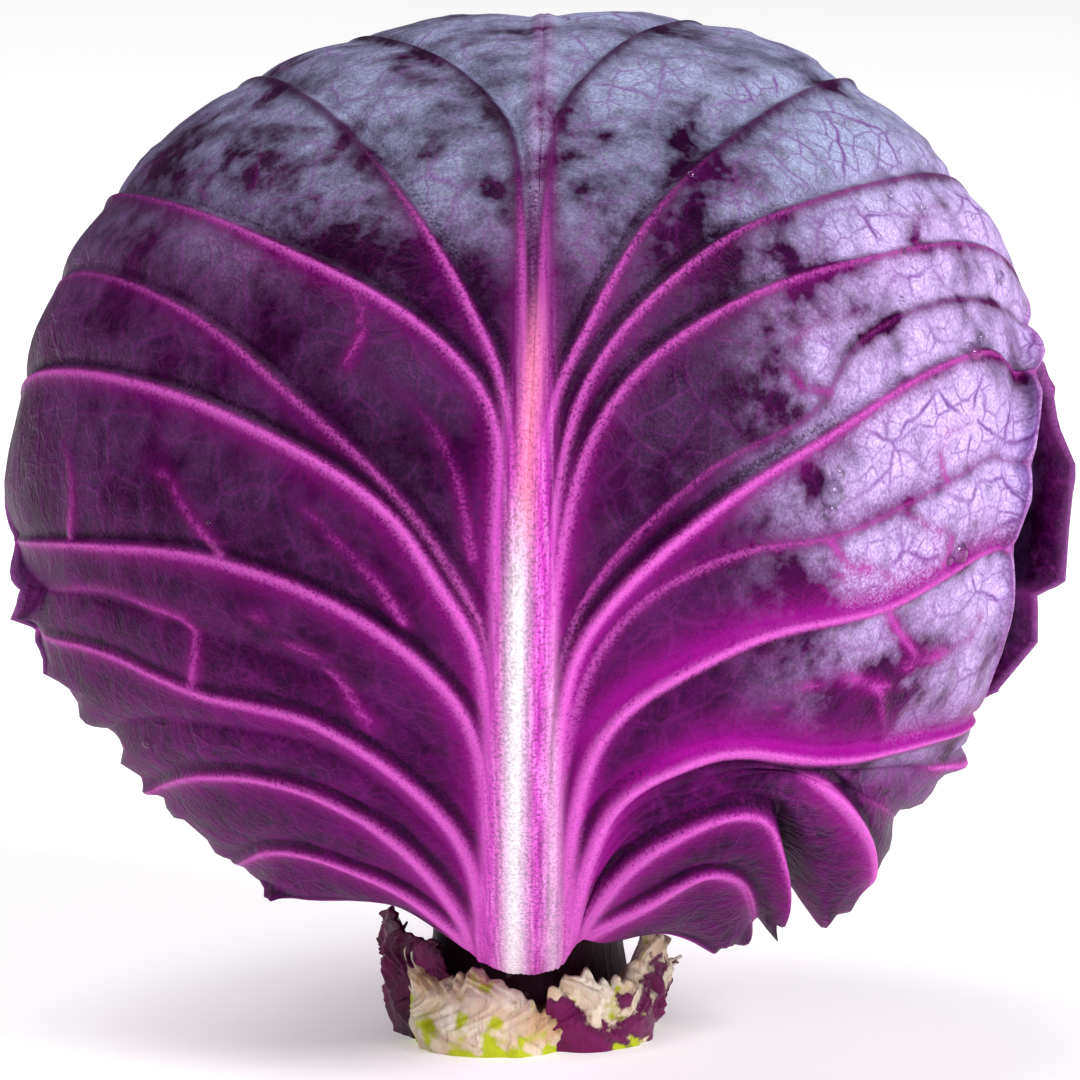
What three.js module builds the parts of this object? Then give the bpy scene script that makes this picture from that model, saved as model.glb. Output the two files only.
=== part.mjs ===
// A head of red cabbage, standing on the cut face of its stalk.
// Millimetres, +Z up, and the front looks along -Y. The origin is the middle of the cut face.
//
// The head is a heart of tightly packed leaves, wrapped in four looser outer leaves. Every leaf is a
// thin sheet that lies on the head at a depth of its own, so that no two touch. It is laid out as a
// fan: one line for the midrib and one for each side vein, all from the leaf's foot to its edge.

import * as THREE from "three";

// The head, as a round body about its middle
const GIRTH_RADIUS = 87;
const GIRTH_HEIGHT = 95;
const CROWN_RISE = 78;
const FOOT_DROP = 84;
const CROWN_ROUNDNESS = 2.15;
const FOOT_ROUNDNESS = 1.7;
const LOPSIDED = 4; // how much fuller the shoulders are on the right than on the left
const LUMP = 0.9; // height of the broad lumps in the skin

// The leaves
const BLADE = 1.3; // thickness between the veins
const BACK_DEPTH = 4; // how far below the front leaf the others lie
const SIDE_DEPTH = 8.5;
const HEART_DEPTH = 11.2;
const VIEW_TILT = 10; // the front leaf is drawn as seen from this far above the level
const BUNDLE_STEP = 0.8; // spacing of the veins where they leave the foot side by side
const PILLOW = 1; // how far the blade swells between two veins
const PILLOW_SPAN = 18; // distance between two veins from which it swells in full
const LEAF_ROWS = 17;
const SIDE_LEAF_ROWS = 12;
const VEIN_SAMPLES = 40;

// The stalk and the stubs of cut leaves round it
const STALK_SIDES = 24;
const STALK_OUTLINE = [
  [0, 0], [16.5, 0], [18.6, 1.4], [18.4, 6], [17, 11], [16.2, 16], [16.6, 20], [18, 24.4], [13, 23.6], [0, 22.6],
];
const STALK_GIRTH = 18.6;
const STUB_GAP = 0.5;

const RAD = Math.PI / 180;
const MM_PER_DEGREE = GIRTH_RADIUS * RAD;

// Colours of the real thing
const SKIN = new THREE.MeshStandardMaterial({ color: 0x5b1a63, roughness: 0.45, metalness: 0 });
const HEART_SKIN = new THREE.MeshStandardMaterial({ color: 0x6c2a78, roughness: 0.5, metalness: 0 });
const FLESH = new THREE.MeshStandardMaterial({ color: 0xe3d7a8, roughness: 0.7, metalness: 0 });
const TORN = new THREE.MeshStandardMaterial({ color: 0xb9a0a0, roughness: 0.6, metalness: 0 });

// The way that an azimuth, from the front towards +X, and an elevation point
function heading(azimuth, elevation) {
  const level = Math.cos(elevation * RAD);
  return new THREE.Vector3(
    Math.sin(azimuth * RAD) * level,
    -Math.cos(azimuth * RAD) * level,
    Math.sin(elevation * RAD),
  );
}

// Distance from the head's middle to its skin, along a unit vector: a rounded body of revolution,
// fuller at the right shoulder, with broad low lumps
function headRadius(way) {
  const above = way.z >= 0;
  const power = above ? CROWN_ROUNDNESS : FOOT_ROUNDNESS;
  const reach = above ? CROWN_RISE : FOOT_DROP;
  const level = Math.hypot(way.x, way.y);
  const round = (level / GIRTH_RADIUS) ** power + (Math.abs(way.z) / reach) ** power;
  const lump = Math.sin(4.1 * way.x + 1.7) * Math.sin(3.3 * way.z + 0.6) + Math.sin(3.7 * way.y + 2.2 * way.z);
  return round ** (-1 / power) + LOPSIDED * way.x * Math.abs(way.z) + LUMP * lump;
}

function onSkin(way, depth) {
  return way.clone().multiplyScalar(headRadius(way) - depth).add(new THREE.Vector3(0, 0, GIRTH_HEIGHT));
}

// A leaf is drawn on a flat chart: degrees across and up from the way that its middle faces
class Chart {
  constructor(azimuth, elevation) {
    this.ahead = heading(azimuth, elevation);
    this.across = heading(azimuth + 90, 0);
    this.upward = heading(azimuth, elevation + 90);
  }

  way(x, y) {
    const turn = Math.hypot(x, y);
    const side = turn > 1e-9 ? Math.sin(turn * RAD) / turn : 0;
    return this.ahead
      .clone()
      .multiplyScalar(Math.cos(turn * RAD))
      .addScaledVector(this.across, x * side)
      .addScaledVector(this.upward, y * side)
      .normalize();
  }

  // The chart point that is seen x mm across and z mm up from the middle. Past the outline, the
  // distance is measured on along the skin.
  seen([x, z]) {
    const EDGE = 86;
    const out = Math.hypot(x, z);
    const [u, v] = [x / out, z / out];
    const reach = (turn) => headRadius(this.way(u * turn, v * turn)) * Math.sin(turn * RAD);
    let [low, high] = [0, EDGE];
    if (out >= reach(EDGE)) low = EDGE + (out - reach(EDGE)) / MM_PER_DEGREE;
    else
      for (let step = 0; step < 30; step++) {
        const middle = (low + high) / 2;
        if (reach(middle) < out) low = middle;
        else high = middle;
      }
    return new THREE.Vector2(u * low, v * low);
  }
}

// The veins of the front leaf, in millimetres across and up from the middle of the head as seen.
// They run from the lowest on the left, over the midrib, to the lowest on the right, and the first
// and last are the leaf's lower edges. The foot is added to each.
const FRONT_VEINS = [
  [[-14, -75.6], [-22, -71], [-32, -68.5], [-42, -65.5], [-47, -64]],
  [[-12, -74], [-20, -67.5], [-31, -62.5], [-41, -61], [-53, -61]],
  [[-10.6, -71.5], [-17.7, -61.8], [-26, -55], [-40, -49.6], [-53, -48.5], [-66, -49]],
  [[-8.9, -61.8], [-17.7, -50], [-33.6, -39.5], [-52, -35], [-70, -29], [-88, -24]],
  [[-7.7, -43], [-13, -33.5], [-26.4, -22.5], [-48.7, -13.5], [-70, -11], [-98, -9]],
  [[-7.4, -29], [-12.6, -19], [-22.8, -5], [-40, 6], [-61.7, 15], [-80, 17.5], [-112, 16]],
  [[-6.2, -27], [-11, -16.5], [-21, -2.6], [-34, 9.8], [-55.7, 27.3], [-74, 34], [-110, 38]],
  [[-4.8, -13.6], [-5.3, 10], [-15.8, 23.2], [-39.9, 37.1], [-62, 46], [-76, 50], [-104, 62]],
  [[-3.4, 12], [-8.2, 25.4], [-21, 46.5], [-35, 61.5], [-50, 70], [-78, 90]],
  [[-0.9, 42], [-3.4, 57], [-14, 68.3], [-30.5, 77], [-46, 98]],
  [[0, -3.4], [1.7, 30.7], [2.4, 64.7], [3, 82], [4, 106]],
  [[3.1, 44], [6.2, 60], [14, 69.5], [28, 77], [44, 100]],
  [[3.3, 8], [10, 24.4], [21.6, 43.6], [40, 60.1], [53, 66.5], [70, 84]],
  [[4.7, -2], [11, 17.5], [30.3, 37.1], [52, 46.5], [70, 50], [93, 58]],
  [[5.6, -9], [14, 12.5], [31.5, 26.8], [56.7, 35.9], [75.5, 38], [93, 38]],
  [[5.8, -28], [12, -15.5], [29, 1], [46, 10.6], [54, 22], [68, 29], [80, 28], [91, 26]],
  [[6.7, -31], [13.6, -19.5], [31.5, -4], [48, 6.6], [66.8, 18], [79, 21], [89, 20]],
  [[7.5, -37], [17, -21], [33, -12.5], [50.3, -9.2], [67, -1.5], [79, 3], [87, 3]],
  [[8.3, -50], [14, -38.5], [34.4, -26.6], [59.6, -20.3], [76, -12], [85, -8]],
  [[9.4, -62], [16, -50.5], [31, -44], [49, -45.5], [67, -42], [77, -35]],
  [[10.6, -70.5], [18, -61.5], [31, -54], [43, -53.5], [58, -55]],
  [[11.8, -73.5], [20, -67.5], [33, -61], [42, -60.5], [52, -63]],
  [[13, -76.4], [21, -72.5], [31, -69.5], [40, -69]],
];
const FRONT_MIDRIB = 10;
const FRONT_FOOT = [-1, -84]; // its lowest point, under the midrib
const FOOT_ROUNDING = 0.08; // how much the foot rises towards its corners
// How far each of those veins' ends stands off the head
const FRONT_FRILL = [4, 3, 2, 3, 2, 0, 0, 0, 0, 1, 0, 1, 0, 0, 1, 2, 3, 3, 2, 3, 7, 5, 4];

function frontLeaf() {
  const chart = new Chart(0, VIEW_TILT);
  const foot = (index) => {
    const aside = (index - FRONT_MIDRIB) * BUNDLE_STEP;
    return chart.seen([FRONT_FOOT[0] + aside, FRONT_FOOT[1] + FOOT_ROUNDING * aside ** 2]);
  };
  const veins = FRONT_VEINS.map((route, index) => [foot(index), ...route.map((point) => chart.seen(point))]);
  return {
    chart, veins, midrib: FRONT_MIDRIB, frill: FRONT_FRILL, depth: 0, rows: LEAF_ROWS, wave: 1.1, ribs: 1,
  };
}

// A leaf of the common form, charted in degrees. Its veins leave the midrib one after another and
// arch out to an edge that is an oval, from low on the left to low on the right. The lowest line on
// each side is the leaf's lower edge.
function commonLeaf({ azimuth, depth, halfWidth, tip, pairs, frill, lean }) {
  const FOOT = -75;
  const OVAL = 2.3;
  const LOWER_EDGE = 67;
  const LOWEST = 146; // bearing of the lowest and highest ends, from straight up
  const HIGHEST = 15;
  const FIRST_FORK = -66;
  const LAST_FORK = 0.72 * tip;
  const chart = new Chart(azimuth, 0);
  const leaning = (x, y) => new THREE.Vector2(x + lean * Math.sin((y - FOOT) * RAD), y);
  const side = (sign) =>
    Array.from({ length: pairs + 1 }, (_, order) => {
      const share = order / pairs;
      const bearing = THREE.MathUtils.lerp(LOWEST, HIGHEST, share ** 0.88) * RAD;
      const tall = Math.cos(bearing) > 0 ? tip : LOWER_EDGE;
      const oval = (Math.sin(bearing) / halfWidth) ** OVAL + (Math.abs(Math.cos(bearing)) / tall) ** OVAL;
      const out = oval ** (-1 / OVAL);
      const [endX, endY] = [Math.sin(bearing) * out, Math.cos(bearing) * out];
      const start = (pairs + 1 - order) * BUNDLE_STEP;
      const fork = THREE.MathUtils.lerp(FIRST_FORK, LAST_FORK, share ** 1.25);
      const arch = [
        [start, FOOT],
        [start + 0.5, (FOOT + fork) / 2],
        [start + 1.2, fork],
        [start + 0.17 * endX, THREE.MathUtils.lerp(fork, endY, 0.42)],
        [start + 0.52 * endX, THREE.MathUtils.lerp(fork, endY, 0.82)],
        [endX, endY],
      ];
      return arch.map(([x, y]) => leaning(sign * x, y));
    });
  const midrib = [FOOT, FOOT / 2, 0, tip / 2, tip].map((y) => leaning(0, y));
  const veins = [...side(-1), midrib, ...side(1).reverse()];
  return { chart, veins, midrib: pairs + 1, frill, depth, rows: SIDE_LEAF_ROWS, wave: 0.9, ribs: 0.72 };
}

const LEAVES = {
  leaf_left: commonLeaf({
    azimuth: -97, depth: SIDE_DEPTH, halfWidth: 70, tip: 74, pairs: 6, lean: 2,
    frill: [0, 0, 0, 0, 0, 0, 0, 0, 0, 0, 0, 0, 0, 2, 3],
  }),
  leaf_right: commonLeaf({
    azimuth: 80, depth: SIDE_DEPTH, halfWidth: 66, tip: 76, pairs: 6, lean: -2,
    frill: [4, 3, 0, 0, 0, 0, 0, 0, 0, 0, 0, 0, 0, 0, 0],
  }),
  leaf_back: commonLeaf({
    azimuth: 174, depth: BACK_DEPTH, halfWidth: 83, tip: 80, pairs: 7, lean: 3,
    frill: [3, 6, 9, 6, 0, 0, 0, 0, 0, 0, 0, 0, 0, 0, 0, 1, 2],
  }),
  leaf_front: frontLeaf(),
};

function smoothStep(low, high, value) {
  const share = Math.min(1, Math.max(0, (value - low) / (high - low)));
  return share * share * (3 - 2 * share);
}

// Height of a vein over the blade at a distance from its line. The midrib is broad and blunt. A side
// vein is steep on the side of the tip and fades slowly on the side of the foot. All of them are
// stout at the foot and thin out towards the edge.
function ribHeight(leaf, index, along, distance, towardsTip) {
  const EDGE_HEIGHT = 0.5;
  const stout = 1 - along;
  if (index === leaf.midrib) {
    const width = 1.3 + 6.4 * stout ** 1.4;
    return leaf.ribs * (0.7 + 4.3 * stout ** 1.1) * Math.exp(-((distance / width) ** 2.4));
  }
  const edge = index === 0 || index === leaf.veins.length - 1;
  const height = leaf.ribs * (edge ? EDGE_HEIGHT : 0.45 + 1.9 * stout ** 0.45);
  const width = towardsTip ? 1.3 + 0.9 * stout : 2.6 + 2.8 * stout;
  return height * Math.exp(-((distance / width) ** 1.5));
}

// Points along a vein, each with its share of the way from the foot to the edge. Every vein starts
// with steps of the same length, so the rows of the fan cross the bundle at the foot squarely.
function courseOf(route) {
  const curve = new THREE.CatmullRomCurve3(route.map((point) => new THREE.Vector3(point.x, point.y, 0)));
  curve.arcLengthDivisions = 120;
  return curve;
}

function sampled(route, longest, shares) {
  const curve = courseOf(route);
  const power = longest / curve.getLength();
  return shares.map((share) => {
    const along = 1 - (1 - share) ** power;
    const point = curve.getPointAt(Math.min(1, Math.max(0, along)));
    return new THREE.Vector2(point.x, point.y);
  });
}

const shareOf = (count) => Array.from({ length: count + 1 }, (_, index) => index / count);

// A leaf's two faces, as rows of points from its foot to its edge
function leafFaces(leaf) {
  const longest = Math.max(...leaf.veins.map((route) => courseOf(route).getLength()));
  const rows = shareOf(leaf.rows);
  const lines = leaf.veins.map((route) => sampled(route, longest, rows));
  const fine = shareOf(VEIN_SAMPLES);
  const courses = leaf.veins.map((route) =>
    sampled(route, longest, fine).map((point) => onSkin(leaf.chart.way(point.x, point.y), leaf.depth)),
  );
  // A panel lies between two lines. Its columns are the crest of the vein, the bottom of the steep
  // side, which faces the midrib's tip, and the middle of the blade.
  const columns = [];
  for (let panel = 0; panel < lines.length - 1; panel++) {
    const parts = panel < leaf.midrib ? [0, 0.14, 0.55] : [0, 0.45, 0.86];
    for (const part of parts) columns.push([panel, part]);
  }
  columns.push([lines.length - 2, 1]);

  const outer = [];
  const inner = [];
  rows.forEach((along, row) => {
    const [outerRow, innerRow] = [[], []];
    for (const [panel, part] of columns) {
      const place = lines[panel][row].clone().lerp(lines[panel + 1][row], part);
      const way = leaf.chart.way(place.x, place.y);
      const flat = onSkin(way, leaf.depth);
      const position = panel + part;
      const crossing = 4 * part * (1 - part);
      const span = lines[panel][row].distanceTo(lines[panel + 1][row]) * MM_PER_DEGREE;
      const pillow = PILLOW * crossing * Math.min(1, span / PILLOW_SPAN);
      const stand = THREE.MathUtils.lerp(leaf.frill[panel], leaf.frill[panel + 1], part);
      const wave = leaf.wave * (1 + Math.sin(position * 4.1 + leaf.depth)) * smoothStep(0.8, 1, along);
      const frill = stand > 0 ? stand * smoothStep(0.7, 1, along) ** 1.5 + wave * Math.min(1, stand) : 0;
      let cubes = 0;
      courses.forEach((course, index) => {
        const [distance, share] = nearest(course, flat);
        const towardsTip = position > index === index < leaf.midrib;
        cubes += ribHeight(leaf, index, share, distance, towardsTip) ** 3;
      });
      const rib = Math.cbrt(cubes) * smoothStep(-0.05, 0.09, along);
      outerRow.push(onSkin(way, leaf.depth - pillow - frill - rib));
      innerRow.push(onSkin(way, leaf.depth - pillow - frill + BLADE));
    }
    outer.push(outerRow);
    inner.push(innerRow);
  });
  return [outer, inner];
}

// Distance from a point to a course of points, and how far along the course its nearest place is
function nearest(course, point) {
  const piece = new THREE.Line3();
  const closest = new THREE.Vector3();
  let [best, along] = [Infinity, 0];
  for (let step = 0; step < course.length - 1; step++) {
    piece.set(course[step], course[step + 1]);
    const share = piece.closestPointToPointParameter(point, true);
    const distance = piece.at(share, closest).distanceTo(point);
    if (distance < best) [best, along] = [distance, (step + share) / (course.length - 1)];
  }
  return [best, along];
}

// A closed sheet from two faces with the same rows and columns, joined by walls round their edges
function sheet([outer, inner]) {
  const rows = outer.length;
  const columns = outer[0].length;
  const points = [...outer.flat(), ...inner.flat()];
  const at = (face, row, column) => face * rows * columns + row * columns + column;
  const index = [];
  for (let row = 0; row < rows - 1; row++)
    for (let column = 0; column < columns - 1; column++) {
      const corners = (face) => [
        at(face, row, column), at(face, row, column + 1), at(face, row + 1, column + 1), at(face, row + 1, column),
      ];
      const [a, b, c, d] = corners(0);
      const [e, f, g, h] = corners(1);
      index.push(a, b, c, a, c, d, e, g, f, e, h, g);
    }
  const rim = [];
  for (let column = 0; column < columns - 1; column++) rim.push([0, column]);
  for (let row = 0; row < rows - 1; row++) rim.push([row, columns - 1]);
  for (let column = columns - 1; column > 0; column--) rim.push([rows - 1, column]);
  for (let row = rows - 1; row > 0; row--) rim.push([row, 0]);
  rim.forEach(([row, column], step) => {
    const [nextRow, nextColumn] = rim[(step + 1) % rim.length];
    const [a, b] = [at(0, row, column), at(0, nextRow, nextColumn)];
    const [c, d] = [at(1, row, column), at(1, nextRow, nextColumn)];
    index.push(a, d, b, a, c, d);
  });
  return bodyOf(points, index);
}

function bodyOf(points, index) {
  const geometry = new THREE.BufferGeometry().setFromPoints(points);
  geometry.setIndex(index);
  geometry.computeVertexNormals();
  return geometry;
}

// The heart: a ball of packed leaves, with the edges of its outermost three showing as low steps. It
// sits on the stalk's end.
function heart() {
  const SIDES = 24;
  const RINGS = 14;
  const FLOOR = 22.5;
  const STEP = 0.9;
  const point = (ring, side) => {
    const elevation = 90 - (180 * ring) / RINGS;
    const azimuth = (360 * side) / SIDES;
    const way = heading(azimuth, elevation);
    const overlap = (azimuth / 120 + elevation / 150 + 4) % 1;
    const placed = way.multiplyScalar(headRadius(way) - HEART_DEPTH - STEP * (1 - overlap));
    placed.z = Math.max(placed.z + GIRTH_HEIGHT, FLOOR);
    return placed;
  };
  const points = [point(0, 0)];
  for (let ring = 1; ring < RINGS; ring++) for (let side = 0; side < SIDES; side++) points.push(point(ring, side));
  points.push(point(RINGS, 0));
  const at = (ring, side) => 1 + (ring - 1) * SIDES + (side % SIDES);
  const index = [];
  for (let side = 0; side < SIDES; side++) {
    index.push(0, at(1, side), at(1, side + 1));
    index.push(points.length - 1, at(RINGS - 1, side + 1), at(RINGS - 1, side));
    for (let ring = 1; ring < RINGS - 1; ring++)
      index.push(
        at(ring, side), at(ring + 1, side), at(ring + 1, side + 1),
        at(ring, side), at(ring + 1, side + 1), at(ring, side + 1),
      );
  }
  return bodyOf(points, index);
}

// The stalk: short and stout, slightly waisted under the heart, cut off flat below
function stalk() {
  const outline = STALK_OUTLINE.map(([radius, height]) => new THREE.Vector2(radius, height));
  const geometry = new THREE.LatheGeometry(outline, STALK_SIDES);
  geometry.rotateX(Math.PI / 2);
  return geometry;
}

// Stubs of leaves cut from the stalk. Each clasps it, thick in the middle and thin at the sides, is
// cut off level with it below, and ends above in a torn edge that leans out.
const STUBS = {
  stub_front: { azimuth: -22, halfWidth: 34, tall: 9.5, thick: 6.6, lean: 1.5, tear: 1.6 },
  stub_right: { azimuth: 46, halfWidth: 30, tall: 14, thick: 4.6, lean: 7, tear: 2.6 },
  stub_left: { azimuth: -88, halfWidth: 28, tall: 17, thick: 4.4, lean: 4.5, tear: 2.6 },
  stub_back: { azimuth: 172, halfWidth: 30, tall: 11, thick: 5.2, lean: 2.5, tear: 2.2 },
  stub_rear_left: { azimuth: -136, halfWidth: 18, tall: 8, thick: 3.8, lean: 2, tear: 1.4 },
  stub_rear_right: { azimuth: 108, halfWidth: 27, tall: 10, thick: 4.8, lean: 3, tear: 1.8 },
};

function stub({ azimuth, halfWidth, tall, thick, lean, tear }) {
  const ROWS = 3;
  const COLUMNS = 8;
  const [outer, inner] = [[], []];
  for (let row = 0; row <= ROWS; row++) {
    const up = row / ROWS;
    const [outerRow, innerRow] = [[], []];
    for (let column = 0; column <= COLUMNS; column++) {
      const across = (2 * column) / COLUMNS - 1;
      const bearing = (azimuth + across * halfWidth) * RAD;
      const ragged = tall + tear * Math.sin(across * 7 + azimuth) - 0.35 * tall * across ** 2;
      const height = up * ragged;
      const near = STALK_GIRTH + STUB_GAP + lean * up ** 2;
      const far = near + thick * (1 - 0.72 * across ** 2) * (1 - 0.55 * up ** 1.5);
      const point = (radius) => new THREE.Vector3(Math.sin(bearing) * radius, -Math.cos(bearing) * radius, height);
      outerRow.push(point(far));
      innerRow.push(point(near));
    }
    outer.push(outerRow);
    inner.push(innerRow);
  }
  return sheet([outer, inner]);
}

const head = new THREE.Group();
function add(name, geometry, material) {
  const mesh = new THREE.Mesh(geometry, material);
  mesh.name = name;
  head.add(mesh);
}

add("stalk", stalk(), FLESH);
for (const [name, form] of Object.entries(STUBS)) add(name, stub(form), TORN);
add("heart", heart(), HEART_SKIN);
for (const [name, leaf] of Object.entries(LEAVES)) add(name, sheet(leafFaces(leaf)), SKIN);

export default head;
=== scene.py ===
# A head of red cabbage that stands on the cut end of its stalk.
# Shapes are worked out in millimetres, +Z up, with the front along -Y and the origin in the middle of
# the cut end, and are turned into metres where a mesh is made.
import math

import bpy
import numpy as np
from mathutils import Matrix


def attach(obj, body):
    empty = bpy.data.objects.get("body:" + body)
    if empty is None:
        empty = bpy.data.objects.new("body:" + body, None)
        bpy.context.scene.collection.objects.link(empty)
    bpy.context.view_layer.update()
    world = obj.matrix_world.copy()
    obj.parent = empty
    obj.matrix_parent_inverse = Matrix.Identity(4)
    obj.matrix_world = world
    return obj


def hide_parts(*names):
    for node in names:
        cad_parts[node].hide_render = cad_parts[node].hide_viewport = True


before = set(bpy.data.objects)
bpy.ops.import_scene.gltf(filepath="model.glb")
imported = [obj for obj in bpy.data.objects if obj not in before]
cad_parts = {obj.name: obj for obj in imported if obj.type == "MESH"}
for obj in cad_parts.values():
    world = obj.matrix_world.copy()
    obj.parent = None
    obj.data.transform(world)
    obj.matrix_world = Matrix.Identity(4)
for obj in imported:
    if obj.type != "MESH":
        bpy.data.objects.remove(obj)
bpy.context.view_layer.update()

# The stalk
# The plant's short, stout stem, pale and woody inside, cut through with a knife. Its side is what is
# left of the leaf bases that were pulled off it: cream flesh with brown, dried strings.
STALK_OUTLINE = [(16.5, 0), (18.2, 0.5), (18.6, 1.6), (18.4, 6), (17.2, 11), (16.4, 16), (16.6, 20), (18, 24)]
STALK_TOP = 23.4
STALK_WAIST = 0.5
SCAR_DEPTH = 0.5
STALK_SIDES = 180
STALK_RINGS = 60


def linear(code):
    """The linear colour of an sRGB hex value"""
    parts = [int(code[start:start + 2], 16) / 255 for start in (1, 3, 5)]
    return [part / 12.92 if part <= 0.04045 else ((part + 0.055) / 1.055) ** 2.4 for part in parts] + [1]


def add(tree, kind, inputs=None, out=None, stops=None, **settings):
    """Adds a node with its settings, its ramp's stops and the values or links of its inputs, and gives
    the output that is named, or else its first one"""
    node = tree.nodes.new(kind)
    for name, value in settings.items():
        setattr(node, name, value)
    for place, (position, code) in enumerate(stops or []):
        band = node.color_ramp.elements
        stop = band[place] if place < 2 else band.new(position)
        stop.position = position
        stop.color = linear(code)
    for name, value in (inputs or {}).items():
        named = [way.name == name and way.enabled for way in node.inputs]
        socket = node.inputs[name if isinstance(name, int) else named.index(True)]
        if isinstance(value, bpy.types.NodeSocket):
            tree.links.new(value, socket)
        else:
            socket.default_value = linear(value) if str(value).startswith("#") else value
    return node.outputs[out] if out else next((way for way in node.outputs if way.enabled), None)


def new_material(name):
    """A material with an empty tree"""
    material = bpy.data.materials.new(name)
    material.use_nodes = True
    material.node_tree.nodes.clear()
    return material, material.node_tree


def make_piece(name, points, faces, material, nodes, attributes=None):
    """A smooth mesh from points in millimetres and arrays of faces, which stands for CAD nodes"""
    mesh = bpy.data.meshes.new(name)
    corners = np.concatenate([group.ravel() for group in faces])
    sizes = np.concatenate([np.full(len(group), group.shape[1]) for group in faces])
    mesh.vertices.add(len(points))
    mesh.vertices.foreach_set("co", (np.asarray(points, dtype=np.float32) / 1000).ravel())
    mesh.loops.add(len(corners))
    mesh.loops.foreach_set("vertex_index", corners.astype(np.int32))
    mesh.polygons.add(len(sizes))
    mesh.polygons.foreach_set("loop_start", np.concatenate([[0], np.cumsum(sizes)[:-1]]).astype(np.int32))
    mesh.polygons.foreach_set("use_smooth", np.ones(len(sizes), dtype=bool))
    mesh.update(calc_edges=True)
    mesh.validate()
    for key, values in (attributes or {}).items():
        values = np.asarray(values, dtype=np.float32)
        if values.ndim == 2:
            mesh.attributes.new(key, "FLOAT_VECTOR", "POINT").data.foreach_set("vector", values.ravel())
        else:
            mesh.attributes.new(key, "FLOAT", "POINT").data.foreach_set("value", values)
    mesh.materials.append(material)
    piece = bpy.data.objects.new(name, mesh)
    bpy.context.scene.collection.objects.link(piece)
    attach(piece, "root")
    if nodes:
        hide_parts(*nodes)
    return piece


def capped_rings(rings, foot, top):
    """Points and faces of closed rings, each above the one before, with a fan to a point at each end"""
    count, sides = rings.shape[:2]
    points = np.vstack([rings.reshape(-1, 3), foot, top])
    side = np.arange(sides)
    following = (side + 1) % sides
    low = np.arange(count - 1)[:, None] * sides
    high = low + sides
    walls = np.stack([low + side, low + following, high + following, high + side], -1).reshape(-1, 4)
    last = (count - 1) * sides
    foot_fan = np.stack([np.full(sides, len(points) - 2), following, side], -1)
    top_fan = np.stack([np.full(sides, len(points) - 1), last + side, last + following], -1)
    return points, [walls, foot_fan, top_fan]


def ripple(values, seed, terms=6, power=1.0):
    """A smooth, uneven wave over an angle or a length, about -1 to 1, the same for the same seed"""
    draw = np.random.default_rng(seed)
    total = np.zeros_like(np.asarray(values, dtype=float))
    for order in range(1, terms + 1):
        total += draw.uniform(0.5, 1) * np.sin(order * values + draw.uniform(0, 2 * math.pi)) / order ** power
    return total / 1.6


# Cabbage stalk, cut with a knife: moist, woody cream flesh with brown strings, a green-white rind, and
# the wine skin of the leaf bases higher up. It gives the eye a matt, finely streaked surface, with
# blotches of 6 mm and strings 1.2 mm wide and 10 mm long.
STALK_FLESH, tree = new_material("cut_cabbage_stalk")
place = add(tree, "ShaderNodeTexCoord", out="Object")
upright = add(tree, "ShaderNodeMapping", {"Vector": place, "Scale": (1, 1, 0.12)})
blotches = add(tree, "ShaderNodeTexNoise", {"Vector": place, "Scale": 170, "Detail": 4})
strings = add(tree, "ShaderNodeTexNoise", {"Vector": upright, "Scale": 800, "Detail": 5, "Roughness": 0.65})
flesh = add(tree, "ShaderNodeValToRGB", {"Fac": blotches},
            stops=[(0.36, "#efe3c2"), (0.56, "#cdb882"), (0.68, "#a9ac4a")], out="Color")
dried = add(tree, "ShaderNodeMapRange", {
    "Value": strings, "From Min": 0.52, "From Max": 0.68, "To Max": 0.75,
})
flesh = add(tree, "ShaderNodeMix", {"Factor": dried, "A": flesh, "B": "#8a6238"}, data_type="RGBA")
rise = add(tree, "ShaderNodeSeparateXYZ", {"Vector": place}, out="Z")
rise = add(tree, "ShaderNodeMath", {0: blotches, 1: 0.02, 2: rise}, operation="MULTIPLY_ADD")
wine = add(tree, "ShaderNodeMapRange", {"Value": rise, "From Min": 0.014, "From Max": 0.019})
flesh = add(tree, "ShaderNodeMix", {"Factor": wine, "A": flesh, "B": "#3f0828"}, data_type="RGBA")
bump = add(tree, "ShaderNodeBump", {"Height": strings, "Distance": 0.0008, "Strength": 0.8})
rough = add(tree, "ShaderNodeMapRange", {
    "Value": strings, "From Min": 0.3, "From Max": 0.8, "To Min": 0.5, "To Max": 0.75,
})
shader = add(tree, "ShaderNodeBsdfPrincipled", {
    "Base Color": flesh, "Roughness": rough, "Normal": bump, "IOR": 1.4, "Subsurface Weight": 0.1,
    "Subsurface Scale": 0.002,
})
add(tree, "ShaderNodeOutputMaterial", {"Surface": shader})

outline = np.array(STALK_OUTLINE, dtype=float)
climb = np.linspace(0, 1, STALK_RINGS)
turn = np.linspace(0, 2 * math.pi, STALK_SIDES, endpoint=False)
spots = np.linspace(0, 1, len(outline))
radius = np.interp(climb, spots, outline[:, 0])[:, None] + np.zeros(STALK_SIDES)
height = np.interp(climb, spots, outline[:, 1])[:, None] + np.zeros(STALK_SIDES)
belly = np.sin(climb * math.pi)[:, None]
scars = SCAR_DEPTH * ripple(turn * 5 + 2 * np.sin(3 * turn), 3, 7, 0.6)[None, :] * belly
radius = radius - STALK_WAIST * belly + scars
rings = np.stack([np.sin(turn) * radius, -np.cos(turn) * radius, height], -1)
points, faces = capped_rings(rings, (0, 0, 0), (0, 0, STALK_TOP))
make_piece("cut_stalk", points, faces, STALK_FLESH, ["stalk"])


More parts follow.
